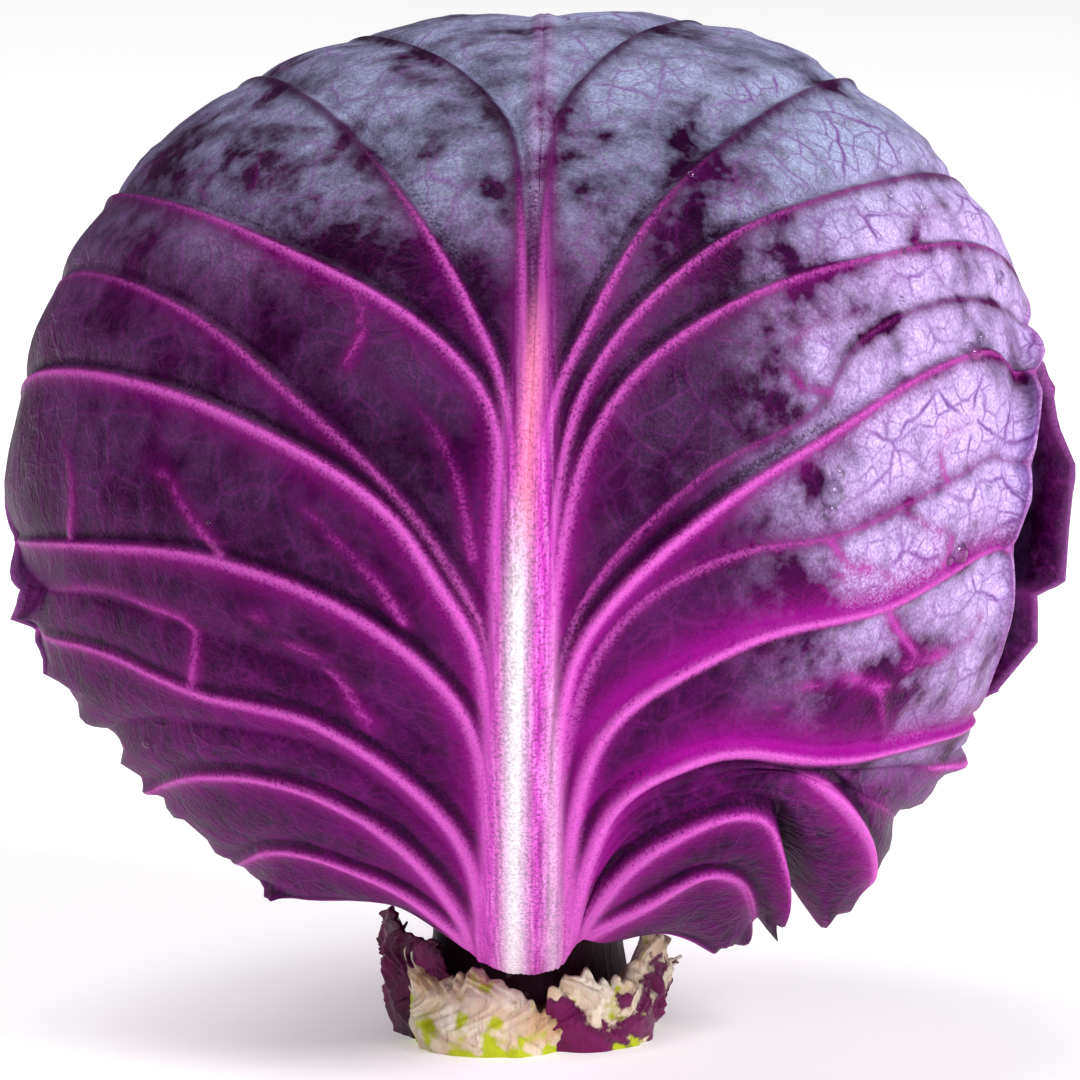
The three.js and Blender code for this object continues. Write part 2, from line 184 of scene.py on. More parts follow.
# The heart
# The ball of tightly packed inner leaves. Only slivers of it show between the outer leaves, over the
# stalk. The edges of its three outermost leaves are low, leaning steps.
GIRTH_RADIUS = 87
GIRTH_HEIGHT = 95
CROWN_RISE = 78
FOOT_DROP = 84
CROWN_ROUNDNESS = 2.15
FOOT_ROUNDNESS = 1.7
LOPSIDED = 4
LUMP = 0.9
HEART_DEPTH = 11.2
HEART_FLOOR = 22.5
HEART_LEAVES = 3
HEART_LEAN = 150
HEART_STEP = 0.9
HEART_GROOVE = 0.6
HEART_MM_PER_DEGREE = 1.3
HEART_POLE = 115
HEART_SIDES = 200
HEART_RINGS = 110


def heading(azimuth, elevation):
    """The unit vector at an azimuth, from the front towards +X, and an elevation, in degrees"""
    azimuth, elevation = np.radians(azimuth), np.radians(elevation)
    level = np.cos(elevation)
    return np.stack([np.sin(azimuth) * level, -np.cos(azimuth) * level, np.sin(elevation) + 0 * azimuth], -1)


def head_radius(way):
    """Distance from the head's middle to its skin along unit vectors"""
    x, y, z = way[..., 0], way[..., 1], way[..., 2]
    power = np.where(z >= 0, CROWN_ROUNDNESS, FOOT_ROUNDNESS)
    reach = np.where(z >= 0, CROWN_RISE, FOOT_DROP)
    rounded = (np.hypot(x, y) / GIRTH_RADIUS) ** power + (np.abs(z) / reach) ** power
    lump = np.sin(4.1 * x + 1.7) * np.sin(3.3 * z + 0.6) + np.sin(3.7 * y + 2.2 * z)
    return rounded ** (-1 / power) + LOPSIDED * x * np.abs(z) + LUMP * lump


def on_skin(way, depth):
    """The point at a depth below the head's skin"""
    return way * (head_radius(way) - depth)[..., None] + np.array([0, 0, GIRTH_HEIGHT])


def leaf_skin(name, lilac, grey):
    """Red cabbage leaf, grown: a purple skin under a waxy, bluish bloom that hands and rain have rubbed
    off in patches. It gives the eye a half-gloss with soft highlights, and a net of fine veins.
    Attributes say where the skin is flushed with magenta, where the veins and their slopes are, where shade
    is painted in their creases and a highlight on their crests, and how pale the midrib is. The chart
    attribute holds millimetres along the skin."""
    material, tree = new_material(name)
    place = add(tree, "ShaderNodeTexCoord", out="Object")
    chart = add(tree, "ShaderNodeAttribute", attribute_name="chart", out="Vector")
    said = {key: add(tree, "ShaderNodeAttribute", attribute_name=key, out="Fac") for key in (
        "bloom", "grey", "flush", "glow", "crest", "crease", "vein", "midrib", "pale", "salmon", "rim")}
    # Blotches of 20 mm, mottling of 5 mm, speckles of 0.5 mm, and patches of bare skin about 16 mm long
    clouds = add(tree, "ShaderNodeTexNoise", {"Vector": place, "Scale": 50, "Detail": 3, "Roughness": 0.6})
    mottle = add(tree, "ShaderNodeTexNoise", {"Vector": place, "Scale": 210, "Detail": 3, "Roughness": 0.7})
    specks = add(tree, "ShaderNodeTexNoise", {"Vector": place, "Scale": 1900, "Detail": 1, "Roughness": 0.7})
    worn = add(tree, "ShaderNodeTexNoise", {"Vector": place, "Scale": 62, "Detail": 3, "Roughness": 0.5})

    # The net of veins: cells of about 13, 6 and 2.4 mm, drawn up to twice as wide as they are
    drift = add(tree, "ShaderNodeTexNoise", {"Vector": chart, "Scale": 0.16, "Detail": 2}, out="Color",
                noise_dimensions="2D")
    centred = add(tree, "ShaderNodeVectorMath", {0: drift, 1: (0.5, 0.5, 0.5)}, operation="SUBTRACT")
    pushed = add(tree, "ShaderNodeVectorMath", {0: centred, "Scale": 3.2}, operation="SCALE")
    warped = add(tree, "ShaderNodeVectorMath", {0: chart, 1: pushed}, operation="ADD")
    web = 0.0
    for cell, width, share in ((13, 0.9, 0.85), (6, 0.5, 0.65), (2.4, 0.22, 0.35)):
        edge = add(tree, "ShaderNodeTexVoronoi", {"Vector": warped, "Scale": 1 / cell, "Randomness": 0.85},
                   voronoi_dimensions="2D", feature="DISTANCE_TO_EDGE")
        drawn = add(tree, "ShaderNodeMapRange", {
            "Value": edge, "From Max": width / cell, "To Min": share, "To Max": 0,
        }, interpolation_type="SMOOTHSTEP")
        web = add(tree, "ShaderNodeMath", {0: web, 1: drawn}, operation="MAXIMUM")
    # It fades beside the veins and in some of the blotches
    for field, near, far, least, most in ((said["vein"], 0.05, 0.6, 1, 0), (clouds, 0.38, 0.6, 0.35, 1)):
        left = add(tree, "ShaderNodeMapRange", {
            "Value": field, "From Min": near, "From Max": far, "To Min": least, "To Max": most,
        })
        web = add(tree, "ShaderNodeMath", {0: web, 1: left}, operation="MULTIPLY")

    # Purple skin, deep or flushed, and the bloom on it
    deep = add(tree, "ShaderNodeValToRGB", {"Fac": clouds}, out="Color",
               stops=[(0.35, "#1d0220"), (0.66, "#400b40")])
    flushed = add(tree, "ShaderNodeValToRGB", {"Fac": mottle}, out="Color",
                  stops=[(0.32, "#2e0230"), (0.68, "#7d0974")])
    skin = add(tree, "ShaderNodeMix", {"Factor": said["flush"], "A": deep, "B": flushed}, data_type="RGBA")
    cover = 0.0
    for field, near, far, least, most in ((clouds, 0.35, 0.64, -0.34, 0.34), (worn, 0.52, 0.74, 0.06, -0.5),
                                          (mottle, 0.3, 0.7, -0.22, 0.18)):
        layer = add(tree, "ShaderNodeMapRange", {
            "Value": field, "From Min": near, "From Max": far, "To Min": least, "To Max": most,
        })
        cover = add(tree, "ShaderNodeMath", {0: cover, 1: layer}, operation="ADD")
    some = add(tree, "ShaderNodeMapRange", {"Value": said["bloom"], "From Max": 0.25})
    cover = add(tree, "ShaderNodeMath", {0: cover, 1: some}, operation="MULTIPLY")
    bloom = add(tree, "ShaderNodeMath", {0: cover, 1: said["bloom"]}, operation="ADD", use_clamp=True)
    wax = add(tree, "ShaderNodeMix", {"Factor": said["grey"], "A": lilac, "B": grey}, data_type="RGBA")
    skin = add(tree, "ShaderNodeMix", {"Factor": bloom, "A": skin, "B": wax}, data_type="RGBA")
    dark_web = add(tree, "ShaderNodeMath", {0: web, 1: bloom}, operation="MULTIPLY")
    skin = add(tree, "ShaderNodeMix", {"Factor": dark_web, "A": skin, "B": "#692584"}, data_type="RGBA")
    bare = add(tree, "ShaderNodeMapRange", {"Value": bloom, "To Min": 0.22, "To Max": 0})
    pink_web = add(tree, "ShaderNodeMath", {0: web, 1: bare}, operation="MULTIPLY")
    skin = add(tree, "ShaderNodeMix", {"Factor": pink_web, "A": skin, "B": "#97288f"}, data_type="RGBA")

    # Magenta slopes of the veins, the painted shade in their creases, and their pink crests with a painted
    # highlight, all with speckled borders
    rough_edge = add(tree, "ShaderNodeMapRange", {
        "Value": specks, "From Min": 0.25, "From Max": 0.75, "To Min": -0.45, "To Max": 0.45,
    })
    for key, low, high, most, tone in (("glow", 0.08, 0.95, 0.95, "#a50f94"),
                                       ("crease", 0.2, 1, 0.7, "#17011a"),
                                       ("crest", 0.22, 1, 0.88, "#e568d3")):
        fact = said[key]
        border = add(tree, "ShaderNodeMath", {0: rough_edge, 1: fact, 2: fact}, operation="MULTIPLY_ADD")
        share = add(tree, "ShaderNodeMapRange", {
            "Value": border, "From Min": low, "From Max": high, "To Max": most,
        }, interpolation_type="SMOOTHSTEP")
        skin = add(tree, "ShaderNodeMix", {"Factor": share, "A": skin, "B": tone}, data_type="RGBA")

    # The midrib: lilac sides with magenta speckles, a salmon streak, and a pale stripe below it, which on the
    # front leaf also carries a painted highlight down the midrib's right flank
    lines = add(tree, "ShaderNodeMapping", {"Vector": chart, "Scale": (1, 0.05, 1)})
    fibres = add(tree, "ShaderNodeTexNoise", {"Vector": lines, "Scale": 1.3, "Detail": 3},
                 noise_dimensions="2D")
    stem = add(tree, "ShaderNodeValToRGB", {"Fac": fibres}, out="Color",
               stops=[(0.3, "#ae1c9f"), (0.5, "#d444c4"), (0.7, "#ee80df")])
    dots = add(tree, "ShaderNodeMapRange", {
        "Value": specks, "From Min": 0.52, "From Max": 0.64, "To Max": 0.6,
    })
    stem = add(tree, "ShaderNodeMix", {"Factor": dots, "A": stem, "B": "#8d127f"}, data_type="RGBA")
    for key, tone in (("midrib", stem), ("salmon", "#ff8fb4"), ("pale", "#fffafd")):
        skin = add(tree, "ShaderNodeMix", {"Factor": said[key], "A": skin, "B": tone}, data_type="RGBA")
    skin = add(tree, "ShaderNodeMix", {"Factor": said["rim"], "A": skin, "B": "#b064b4"}, data_type="RGBA")
    grain = add(tree, "ShaderNodeMapRange", {
        "Value": specks, "From Min": 0.3, "From Max": 0.7, "To Min": 1.24, "To Max": 0.72,
    })
    skin = add(tree, "ShaderNodeVectorMath", {0: skin, "Scale": grain}, operation="SCALE")

    height = add(tree, "ShaderNodeMath", {0: web, 1: 0.25, 2: mottle}, operation="MULTIPLY_ADD")
    height = add(tree, "ShaderNodeMath", {0: specks, 1: 0.18, 2: height}, operation="MULTIPLY_ADD")
    bump = add(tree, "ShaderNodeBump", {"Height": height, "Distance": 0.0007, "Strength": 0.9})
    rough = add(tree, "ShaderNodeMapRange", {
        "Value": mottle, "From Min": 0.3, "From Max": 0.7, "To Min": 0.3, "To Max": 0.5,
    })
    shader = add(tree, "ShaderNodeBsdfPrincipled", {
        "Base Color": skin, "Roughness": rough, "Normal": bump, "IOR": 1.4, "Specular IOR Level": 0.05,
    })
    add(tree, "ShaderNodeOutputMaterial", {"Surface": shader})
    return material


INNER_SKIN = leaf_skin("waxy_cabbage_heart_leaf", "#7a6ba0", "#66617f")

elevation = np.linspace(-88, 88, HEART_RINGS)[:, None] + np.zeros(HEART_SIDES)
azimuth = np.linspace(0, 360, HEART_SIDES, endpoint=False) + np.zeros((HEART_RINGS, 1))
way = heading(azimuth, elevation)
overlap = (azimuth / (360 / HEART_LEAVES) + elevation / HEART_LEAN + 4) % 1
step = HEART_STEP * (1 - overlap) - HEART_GROOVE * np.exp(-(((1 - overlap) * 60) ** 2))
form = head_radius(way) - HEART_DEPTH - step
ball = way * form[..., None] + np.array([0, 0, GIRTH_HEIGHT])
ball[..., 2] = np.maximum(ball[..., 2], HEART_FLOOR + 0.02 * np.hypot(ball[..., 0], ball[..., 1]))
points, faces = capped_rings(ball, ball[0].mean(0), ball[-1].mean(0))
chart = np.stack([azimuth, elevation, 0 * azimuth], -1).reshape(-1, 3) * HEART_MM_PER_DEGREE
chart = np.vstack([chart, (0, -HEART_POLE, 0), (0, HEART_POLE, 0)])
attributes = {"chart": chart, "bloom": np.full(len(points), 0.2), "flush": np.full(len(points), 0.6)}
make_piece("packed_heart", points, faces, INNER_SKIN, ["heart"], attributes)


# The outer leaves
# Four looser leaves wrap the heart, each a thin sheet from its foot at the stalk to a waved edge. A
# broad midrib runs up each, and side veins leave it and arch out, steep on the side of the tip. The
# front leaf covers the others, the back leaf lies under it, and the left and right leaves lowest.
BLADE = 1.3
EDGE_BLADE = 0.8
BACK_DEPTH = 4
SIDE_DEPTH = 8.5
BUNDLE_STEP = 0.8
PILLOW = 1.8
PILLOW_SPAN = 18
CURL_RADIUS = 2.2
RIM_BULGE = 0.3
MM_PER_DEGREE = GIRTH_RADIUS * math.pi / 180
COURSE_STEPS = 241
COURSE_SAMPLES = 60
ROW_CROWDING = 1.12
# The inner face takes every fourth row and column of the outer face
INNER_SHARE = 4
# Half widths and heights of the ribs in millimetres, and what the foot of each adds to its tip
MIDRIB_WIDTH, MIDRIB_WIDENS = 1.3, 6.4
MIDRIB_HEIGHT, MIDRIB_SWELLS = 0.7, 4.3
VEIN_HEIGHT, VEIN_SWELLS, EDGE_VEIN_HEIGHT = 0.8, 2, 0.5
GROOVE_DEPTH = 0.4
BRANCH_WIDTH, BRANCH_HEIGHT = 1.5, 0.6
RIM_PALENESS = 0.5


def smooth_step(low, high, value):
    """From 0 at the low value to 1 at the high one, with soft ends"""
    share = np.clip((value - low) / (high - low), 0, 1)
    return share * share * (3 - 2 * share)


def chart_way(facing, place):
    """The unit vectors of chart points, which are degrees across and up from the way that a leaf's
    middle faces"""
    ahead, across, upward = facing
    x, y = place[..., 0], place[..., 1]
    turn = np.hypot(x, y)
    side = np.sin(np.radians(turn)) / np.maximum(turn, 1e-9)
    way = np.cos(np.radians(turn))[..., None] * ahead
    way = way + (x * side)[..., None] * across + (y * side)[..., None] * upward
    return way / np.linalg.norm(way, axis=-1, keepdims=True)


def facing_of(azimuth, tilt):
    """The ways ahead, across and up for a leaf's middle that faces an azimuth and a tilt"""
    return heading(azimuth, tilt), heading(azimuth + 90, 0), heading(azimuth, tilt + 90)


def seen(facing, point):
    """The chart point that is seen at millimetres across and up from the head's middle. Past the
    outline, the distance is measured on along the skin."""
    horizon = 86
    out = math.hypot(*point)
    share = np.array(point) / out

    def reach(turn):
        return float(head_radius(chart_way(facing, share * turn))) * math.sin(math.radians(turn))

    if out >= reach(horizon):
        return share * (horizon + (out - reach(horizon)) / MM_PER_DEGREE)
    low, high = 0, horizon
    for _ in range(30):
        middle = (low + high) / 2
        low, high = (middle, high) if reach(middle) < out else (low, middle)
    return share * low


def course(route):
    """A smooth curve through a route's points, as a function of the share of its length, and that
    length. It is the centripetal curve through the points."""
    ends = np.vstack([2 * route[0] - route[1], route, 2 * route[-1] - route[-2]])

    def at(times):
        piece = np.minimum(times.astype(int), len(route) - 2)
        part = (times - piece)[:, None]
        before, start, end, after = (ends[piece + shift] for shift in range(4))
        first, gap, last = (np.maximum(np.sqrt(np.linalg.norm(b - a, axis=1)), 1e-4)[:, None]
                            for a, b in ((before, start), (start, end), (end, after)))
        leave = (start - before) / first - (end - before) / (first + gap) + (end - start) / gap
        arrive = (end - start) / gap - (after - start) / (gap + last) + (after - end) / last
        leave, arrive = leave * gap, arrive * gap
        return (start + leave * part + (3 * (end - start) - 2 * leave - arrive) * part ** 2
                + (2 * (start - end) + leave + arrive) * part ** 3)

    times = np.linspace(0, len(route) - 1, COURSE_STEPS)
    walked = np.concatenate([[0], np.cumsum(np.linalg.norm(np.diff(at(times), axis=0), axis=1))])
    return lambda shares: at(np.interp(shares * walked[-1], walked, times)), walked[-1]


def across_lines(values, position, stiffness=0.75):
    """Values of lines, read between them at positions with a fraction, on a smooth curve"""
    count = len(values)
    panel = np.minimum(position.astype(int), count - 2)
    part = (position - panel).reshape((-1,) + (1,) * (values.ndim - 1))
    before, start, end, after = (values[np.clip(panel + shift, 0, count - 1)] for shift in (-1, 0, 1, 2))
    leave, arrive = (end - before) / 2 * stiffness, (after - start) / 2 * stiffness
    return (start + leave * part + (3 * (end - start) - 2 * leave - arrive) * part ** 2
            + (2 * (start - end) + leave + arrive) * part ** 3)


def distance_to(path, points):
    """Distance from points to a path, and the share of the path where its nearest place is"""
    batch = 8000
    start, step = path[:-1], np.diff(path, axis=0)
    square = np.maximum((step ** 2).sum(1), 1e-12)
    best, share = np.empty(len(points)), np.empty(len(points))
    for first in range(0, len(points), batch):
        some = points[first:first + batch]
        from_start = some[:, None, :] - start[None]
        part = np.clip((from_start * step).sum(2) / square, 0, 1)
        gap = np.linalg.norm(from_start - part[..., None] * step, axis=2)
        near = gap.argmin(1)
        rows = np.arange(len(some))
        best[first:first + batch] = gap[rows, near]
        share[first:first + batch] = (near + part[rows, near]) / len(start)
    return best, share


def closed_sheet(outer, inner_all, edge_out):
    """A closed sheet from a fine outer face, a coarser inner face, and a rounded rim between them: its
    points and faces, a function that spreads values over it, and where its rim's points begin"""
    rows, columns = outer.shape[:2]
    inner = inner_all[::INNER_SHARE, ::INNER_SHARE]
    inner_rows, inner_columns = inner.shape[:2]
    row, column = np.meshgrid(np.arange(rows - 1), np.arange(columns - 1), indexing="ij")
    at = row * columns + column
    outer_faces = np.stack([at, at + 1, at + columns + 1, at + columns], -1).reshape(-1, 4)
    row, column = np.meshgrid(np.arange(inner_rows - 1), np.arange(inner_columns - 1), indexing="ij")
    at = rows * columns + row * inner_columns + column
    inner_faces = np.stack([at, at + inner_columns, at + inner_columns + 1, at + 1], -1).reshape(-1, 4)
    border = ([(0, c) for c in range(columns - 1)] + [(r, columns - 1) for r in range(rows - 1)]
              + [(rows - 1, c) for c in range(columns - 1, 0, -1)] + [(r, 0) for r in range(rows - 1, 0, -1)])
    border = np.array(border)
    rim_first = rows * columns + inner_rows * inner_columns
    rim = (outer[border[:, 0], border[:, 1]] + inner_all[border[:, 0], border[:, 1]]) / 2
    rim = rim + edge_out[border[:, 0], border[:, 1]] * RIM_BULGE
    count = len(border)
    step = np.arange(count)
    following = (step + 1) % count
    on_outer = border[:, 0] * columns + border[:, 1]
    rim_faces = np.stack([on_outer[step], rim_first + step, rim_first + following, on_outer[following]], -1)
    corner = border[::INNER_SHARE] // INNER_SHARE
    on_inner = rows * columns + corner[:, 0] * inner_columns + corner[:, 1]
    near = step // INNER_SHARE
    turned = on_inner[(near + (step % INNER_SHARE >= INNER_SHARE // 2)) % len(corner)]
    fans = np.stack([rim_first + step, turned, rim_first + following], -1)
    ahead = np.arange(len(corner))
    middle = rim_first + ahead * INNER_SHARE + INNER_SHARE // 2
    bridges = np.stack([middle, on_inner[ahead], on_inner[(ahead + 1) % len(corner)]], -1)
    faces = [outer_faces, inner_faces, rim_faces, fans, bridges]
    points = np.vstack([outer.reshape(-1, 3), inner.reshape(-1, 3), rim])

    def spread(values):
        """A value of each outer point, carried to the inner face and the rim"""
        coarse = values[::INNER_SHARE, ::INNER_SHARE]
        tail = values.shape[2:]
        edge = values[border[:, 0], border[:, 1]]
        return np.concatenate([values.reshape((-1,) + tail), coarse.reshape((-1,) + tail), edge])

    return points, faces, spread, rim_first


def lay_out(leaf):
    """A leaf's grid. Its columns run up the lines of the fan and, on smooth curves, between them. Its
    rows crowd a little towards the edge."""
    curves = [course(np.array(line["route"])) for line in leaf["lines"]]
    lengths = np.array([length for _, length in curves])
    rows = 1 - (1 - np.linspace(0, 1, leaf["rows"])) ** ROW_CROWDING
    walked = 1 - (1 - rows) ** (lengths.max() / lengths[:, None])
    sampled = np.stack([curve(shares) for (curve, _), shares in zip(curves, walked)])
    spans = np.linalg.norm(np.diff(sampled, axis=0), axis=2).max(1) * MM_PER_DEGREE
    parts = np.clip(np.round(spans / spans.sum() * leaf["columns"]), 6, 40).astype(int)
    spare = (-parts.sum()) % INNER_SHARE
    parts[np.argsort(-spans)[:spare]] += 1
    position = []
    for panel, count in enumerate(parts):
        share = np.arange(count) / count
        position.append(panel + share - 0.1 * np.sin(2 * math.pi * share))
    position = np.append(np.concatenate(position), len(curves) - 1)
    return curves, lengths, rows, walked, sampled, position


def raise_veins(leaf, curves, position, flat):
    """How high the ribs stand over a leaf's grid, and what the skin shows beside them: how near a vein is,
    the glow on its slopes, its pink crest with a painted highlight, and the painted shade in the crease on
    the side of the leaf's tip"""
    facing, depth, midrib = leaf["facing"], leaf["depth"], leaf["midrib"]
    spots = np.linspace(0, 1, COURSE_SAMPLES)
    ribs, vein, glow, crest, crease = (np.zeros(flat.shape[:2]) for _ in range(5))
    for index, line in enumerate(leaf["lines"]):
        near = np.abs(position - index) <= (len(curves) if index == midrib else leaf["reach"])
        path = on_skin(chart_way(facing, curves[index][0](spots)), depth)
        gap, share = (values.reshape(flat[near].shape[:2])
                      for values in distance_to(path, flat[near].reshape(-1, 3)))
        stout = 1 - share
        if index == midrib:
            width = MIDRIB_WIDTH + MIDRIB_WIDENS * stout ** 1.4
            height = MIDRIB_HEIGHT + MIDRIB_SWELLS * stout ** 1.1
            height = leaf["ribs"] * height * np.exp(-((gap / width) ** 2.6))
            mid_gap, mid_width = gap, width
            vein[near] = np.maximum(vein[near], np.exp(-((gap / (width + 1)) ** 3)))
        else:
            tipward = ((position[near] > index) == (index < midrib))[:, None]
            tall = EDGE_VEIN_HEIGHT if line["kind"] == "edge" else VEIN_HEIGHT + VEIN_SWELLS * stout ** 0.5
            bold = line["bold"] * smooth_step(line["begin"], line["begin"] + 0.1, share)
            over = line["over"] * smooth_step(0.3, 0.55, share)
            steep = np.exp(-((gap / (1.0 + 0.6 * stout)) ** 1.7))
            slope = 0.5 * np.exp(-((gap / (1.0 + 1.1 * stout)) ** 1.6))
            slope = slope + 0.5 * np.exp(-gap / (2.4 + 3.4 * stout))
            groove = np.exp(-(((gap - 1.5 - 1.1 * stout) / (0.7 + 0.9 * stout)) ** 2))
            groove = groove * tipward * smooth_step(0, 0.25, share)
            height = leaf["ribs"] * bold * (tall * np.where(tipward, steep, slope) - GROOVE_DEPTH * groove)
            lit = bold * np.clip(0.55 + 0.6 * stout, 0, 1)
            thin = np.where(tipward, 0.55 + 0.7 * stout, 0.85 + 1.6 * stout)
            # The crest tone is the vein's own pink with a painted highlight along its top
            crest[near] = np.maximum(crest[near], lit * np.exp(-((gap / thin) ** 1.6)))
            fade = np.where(tipward, 0.8 + 0.8 * stout + 5 * over, (2.2 + 3.6 * stout) * (1 - 0.7 * over))
            glow[near] = np.maximum(glow[near], lit * np.exp(-gap / fade))
            # The crease tone is painted shade: dark purple in the groove on the side of the leaf's tip
            dark = bold * groove * (1 - over) * (0.55 + 0.6 * stout ** 0.5)
            crease[near] = np.maximum(crease[near], dark)
            vein[near] = np.maximum(vein[near], bold * np.exp(-((gap / 2.2) ** 2)))
        ribs[near] += np.sign(height) * np.abs(height) ** 3
    # Finer veins between the side veins
    for route in leaf["branches"]:
        path = on_skin(chart_way(facing, course(np.array(route))[0](spots)), depth)
        centre = path.mean(0)
        near = np.linalg.norm(flat - centre, axis=2) < np.linalg.norm(path - centre, axis=1).max() + 8
        gap, share = distance_to(path, flat[near])
        strong = 0.55 + 0.45 * share
        ribs[near] += (BRANCH_HEIGHT * strong * np.exp(-((gap / BRANCH_WIDTH) ** 2))) ** 3
        # The finer veins' crests also carry a painted highlight
        crest[near] = np.maximum(crest[near], 0.56 * strong * np.exp(-((gap / 1.25) ** 2)))
        glow[near] = np.maximum(glow[near], 0.75 * strong * np.exp(-gap / 2.0))
        vein[near] = np.maximum(vein[near], np.exp(-((gap / 1.6) ** 2)))
    tones = {"vein": vein, "glow": glow, "crest": crest, "crease": crease}
    return np.cbrt(ribs), tones, mid_gap, mid_width


def grow(leaf):
    """The mesh of a leaf, from its lines, and what its skin needs to know"""
    lines, depth = leaf["lines"], leaf["depth"]
    curves, lengths, rows, walked, sampled, position = lay_out(leaf)
    place = across_lines(sampled, position)
    along = np.clip(across_lines(walked, position, 0), 0, 1)
    way = chart_way(leaf["facing"], place)
    flat = on_skin(way, depth)
    # The blade stands up a little between its veins, more where they are wide apart
    part = (position % 1)[:, None]
    panel = np.minimum(position.astype(int), len(lines) - 2)
    span = np.linalg.norm(sampled[panel + 1] - sampled[panel], axis=2) * MM_PER_DEGREE
    form = PILLOW * 4 * part * (1 - part) * np.minimum(1, span / PILLOW_SPAN)
    # Folds at the edge, and frills 13 and 7 mm long
    margin = np.concatenate([[0], np.cumsum(np.linalg.norm(np.diff(flat[:, -1], axis=0), axis=1))])
    told = {key: across_lines(np.array([float(line[key]) for line in lines]), position, 0.6)[:, None]
            for key in ("stand", "start", "ruffle", "curl")}
    edge = np.clip((along - told["start"]) / (1 - told["start"]), 0, 1)
    form = form + told["stand"] * smooth_step(0, 1, edge) ** 1.5
    waves = np.sin(margin / 2.1 + 2 * np.sin(margin / 9))
    waves = waves + 0.7 * np.sin(margin / 1.15 + 1.5 * np.sin(margin / 5))
    form = form + told["ruffle"] * waves[:, None] * smooth_step(0.86, 1, along) ** 1.6
    # Low swells of the blade about 40 mm long, and puckers about 15 mm long
    x, y, z = flat[..., 0], flat[..., 1], flat[..., 2]
    swells = np.sin(x / 7.3 + 2 * np.sin(z / 11)) * np.sin(z / 6.1 + y / 9)
    puckers = np.sin(x / 2.9 + 2 * np.sin(z / 5)) * np.sin(z / 2.3 + y / 4)
    form = form + (leaf["swell"] * swells + 0.3 * leaf["swell"] * puckers) * smooth_step(0.15, 0.5, along)
    ribs, tones, mid_gap, mid_width = raise_veins(leaf, curves, position, flat)
    rib = ribs * smooth_step(-0.05, 0.09, rows)[None, :]
    # The edge curls outward, round a small radius
    ahead = np.gradient(flat, axis=1)
    ahead /= np.maximum(np.linalg.norm(ahead, axis=2, keepdims=True), 1e-6)
    length = across_lines(lengths, position, 0)[:, None] * MM_PER_DEGREE
    left = (1 - along) * length
    curl = np.radians(np.maximum(0, told["curl"]))
    past = np.clip(curl * CURL_RADIUS - left, 0, None)
    bend = past / CURL_RADIUS
    shift = (ahead * (CURL_RADIUS * np.sin(bend) - past)[..., None]
             + way * (CURL_RADIUS * (1 - np.cos(bend)))[..., None])
    normal = way * np.cos(bend)[..., None] - ahead * np.sin(bend)[..., None]
    thick = BLADE + (EDGE_BLADE - BLADE) * smooth_step(0.9, 1, along)
    middle = on_skin(way, depth - form) + shift
    outer = middle + normal * rib[..., None]
    inner = middle - normal * thick[..., None]
    edge_out = ahead * np.cos(bend)[..., None] + way * np.sin(bend)[..., None]
    sheet = closed_sheet(*(values.transpose(1, 0, 2) for values in (outer, inner, edge_out)))
    facts = {"along": along, "position": position, "place": place, "flat": flat, "mid_gap": mid_gap,
             "mid_width": mid_width}
    return sheet, facts, tones


def dress(leaf, name, nodes, colours):
    """Grows a leaf, gives it its skin's attributes, and makes it a piece"""
    (points, faces, spread, rim_first), facts, tones = grow(leaf)
    tones.update(colours(facts, tones))
    along = facts["along"]
    tones["chart"] = np.concatenate([facts["place"] * MM_PER_DEGREE, np.zeros(along.shape + (1,))], -1)
    tones["rim"] = RIM_PALENESS * smooth_step(0.992, 1, along)
    attributes = {key: spread(np.swapaxes(values, 0, 1)) for key, values in tones.items()}
    attributes["rim"][rim_first:] = RIM_PALENESS
    return make_piece(name, points, faces, OUTER_SKIN, nodes, attributes)


def line(kind, route, stand=0.0, start=0.7, ruffle=0.0, curl=0.0, bold=1.0, begin=-1.0, over=0.0):
    """A line of a leaf's fan. Its end stands off the head and curls outward, and its vein begins some
    way along it."""
    return {"kind": kind, "route": route, "stand": stand, "start": start, "ruffle": ruffle, "curl": curl,
            "bold": bold, "begin": begin, "over": over}


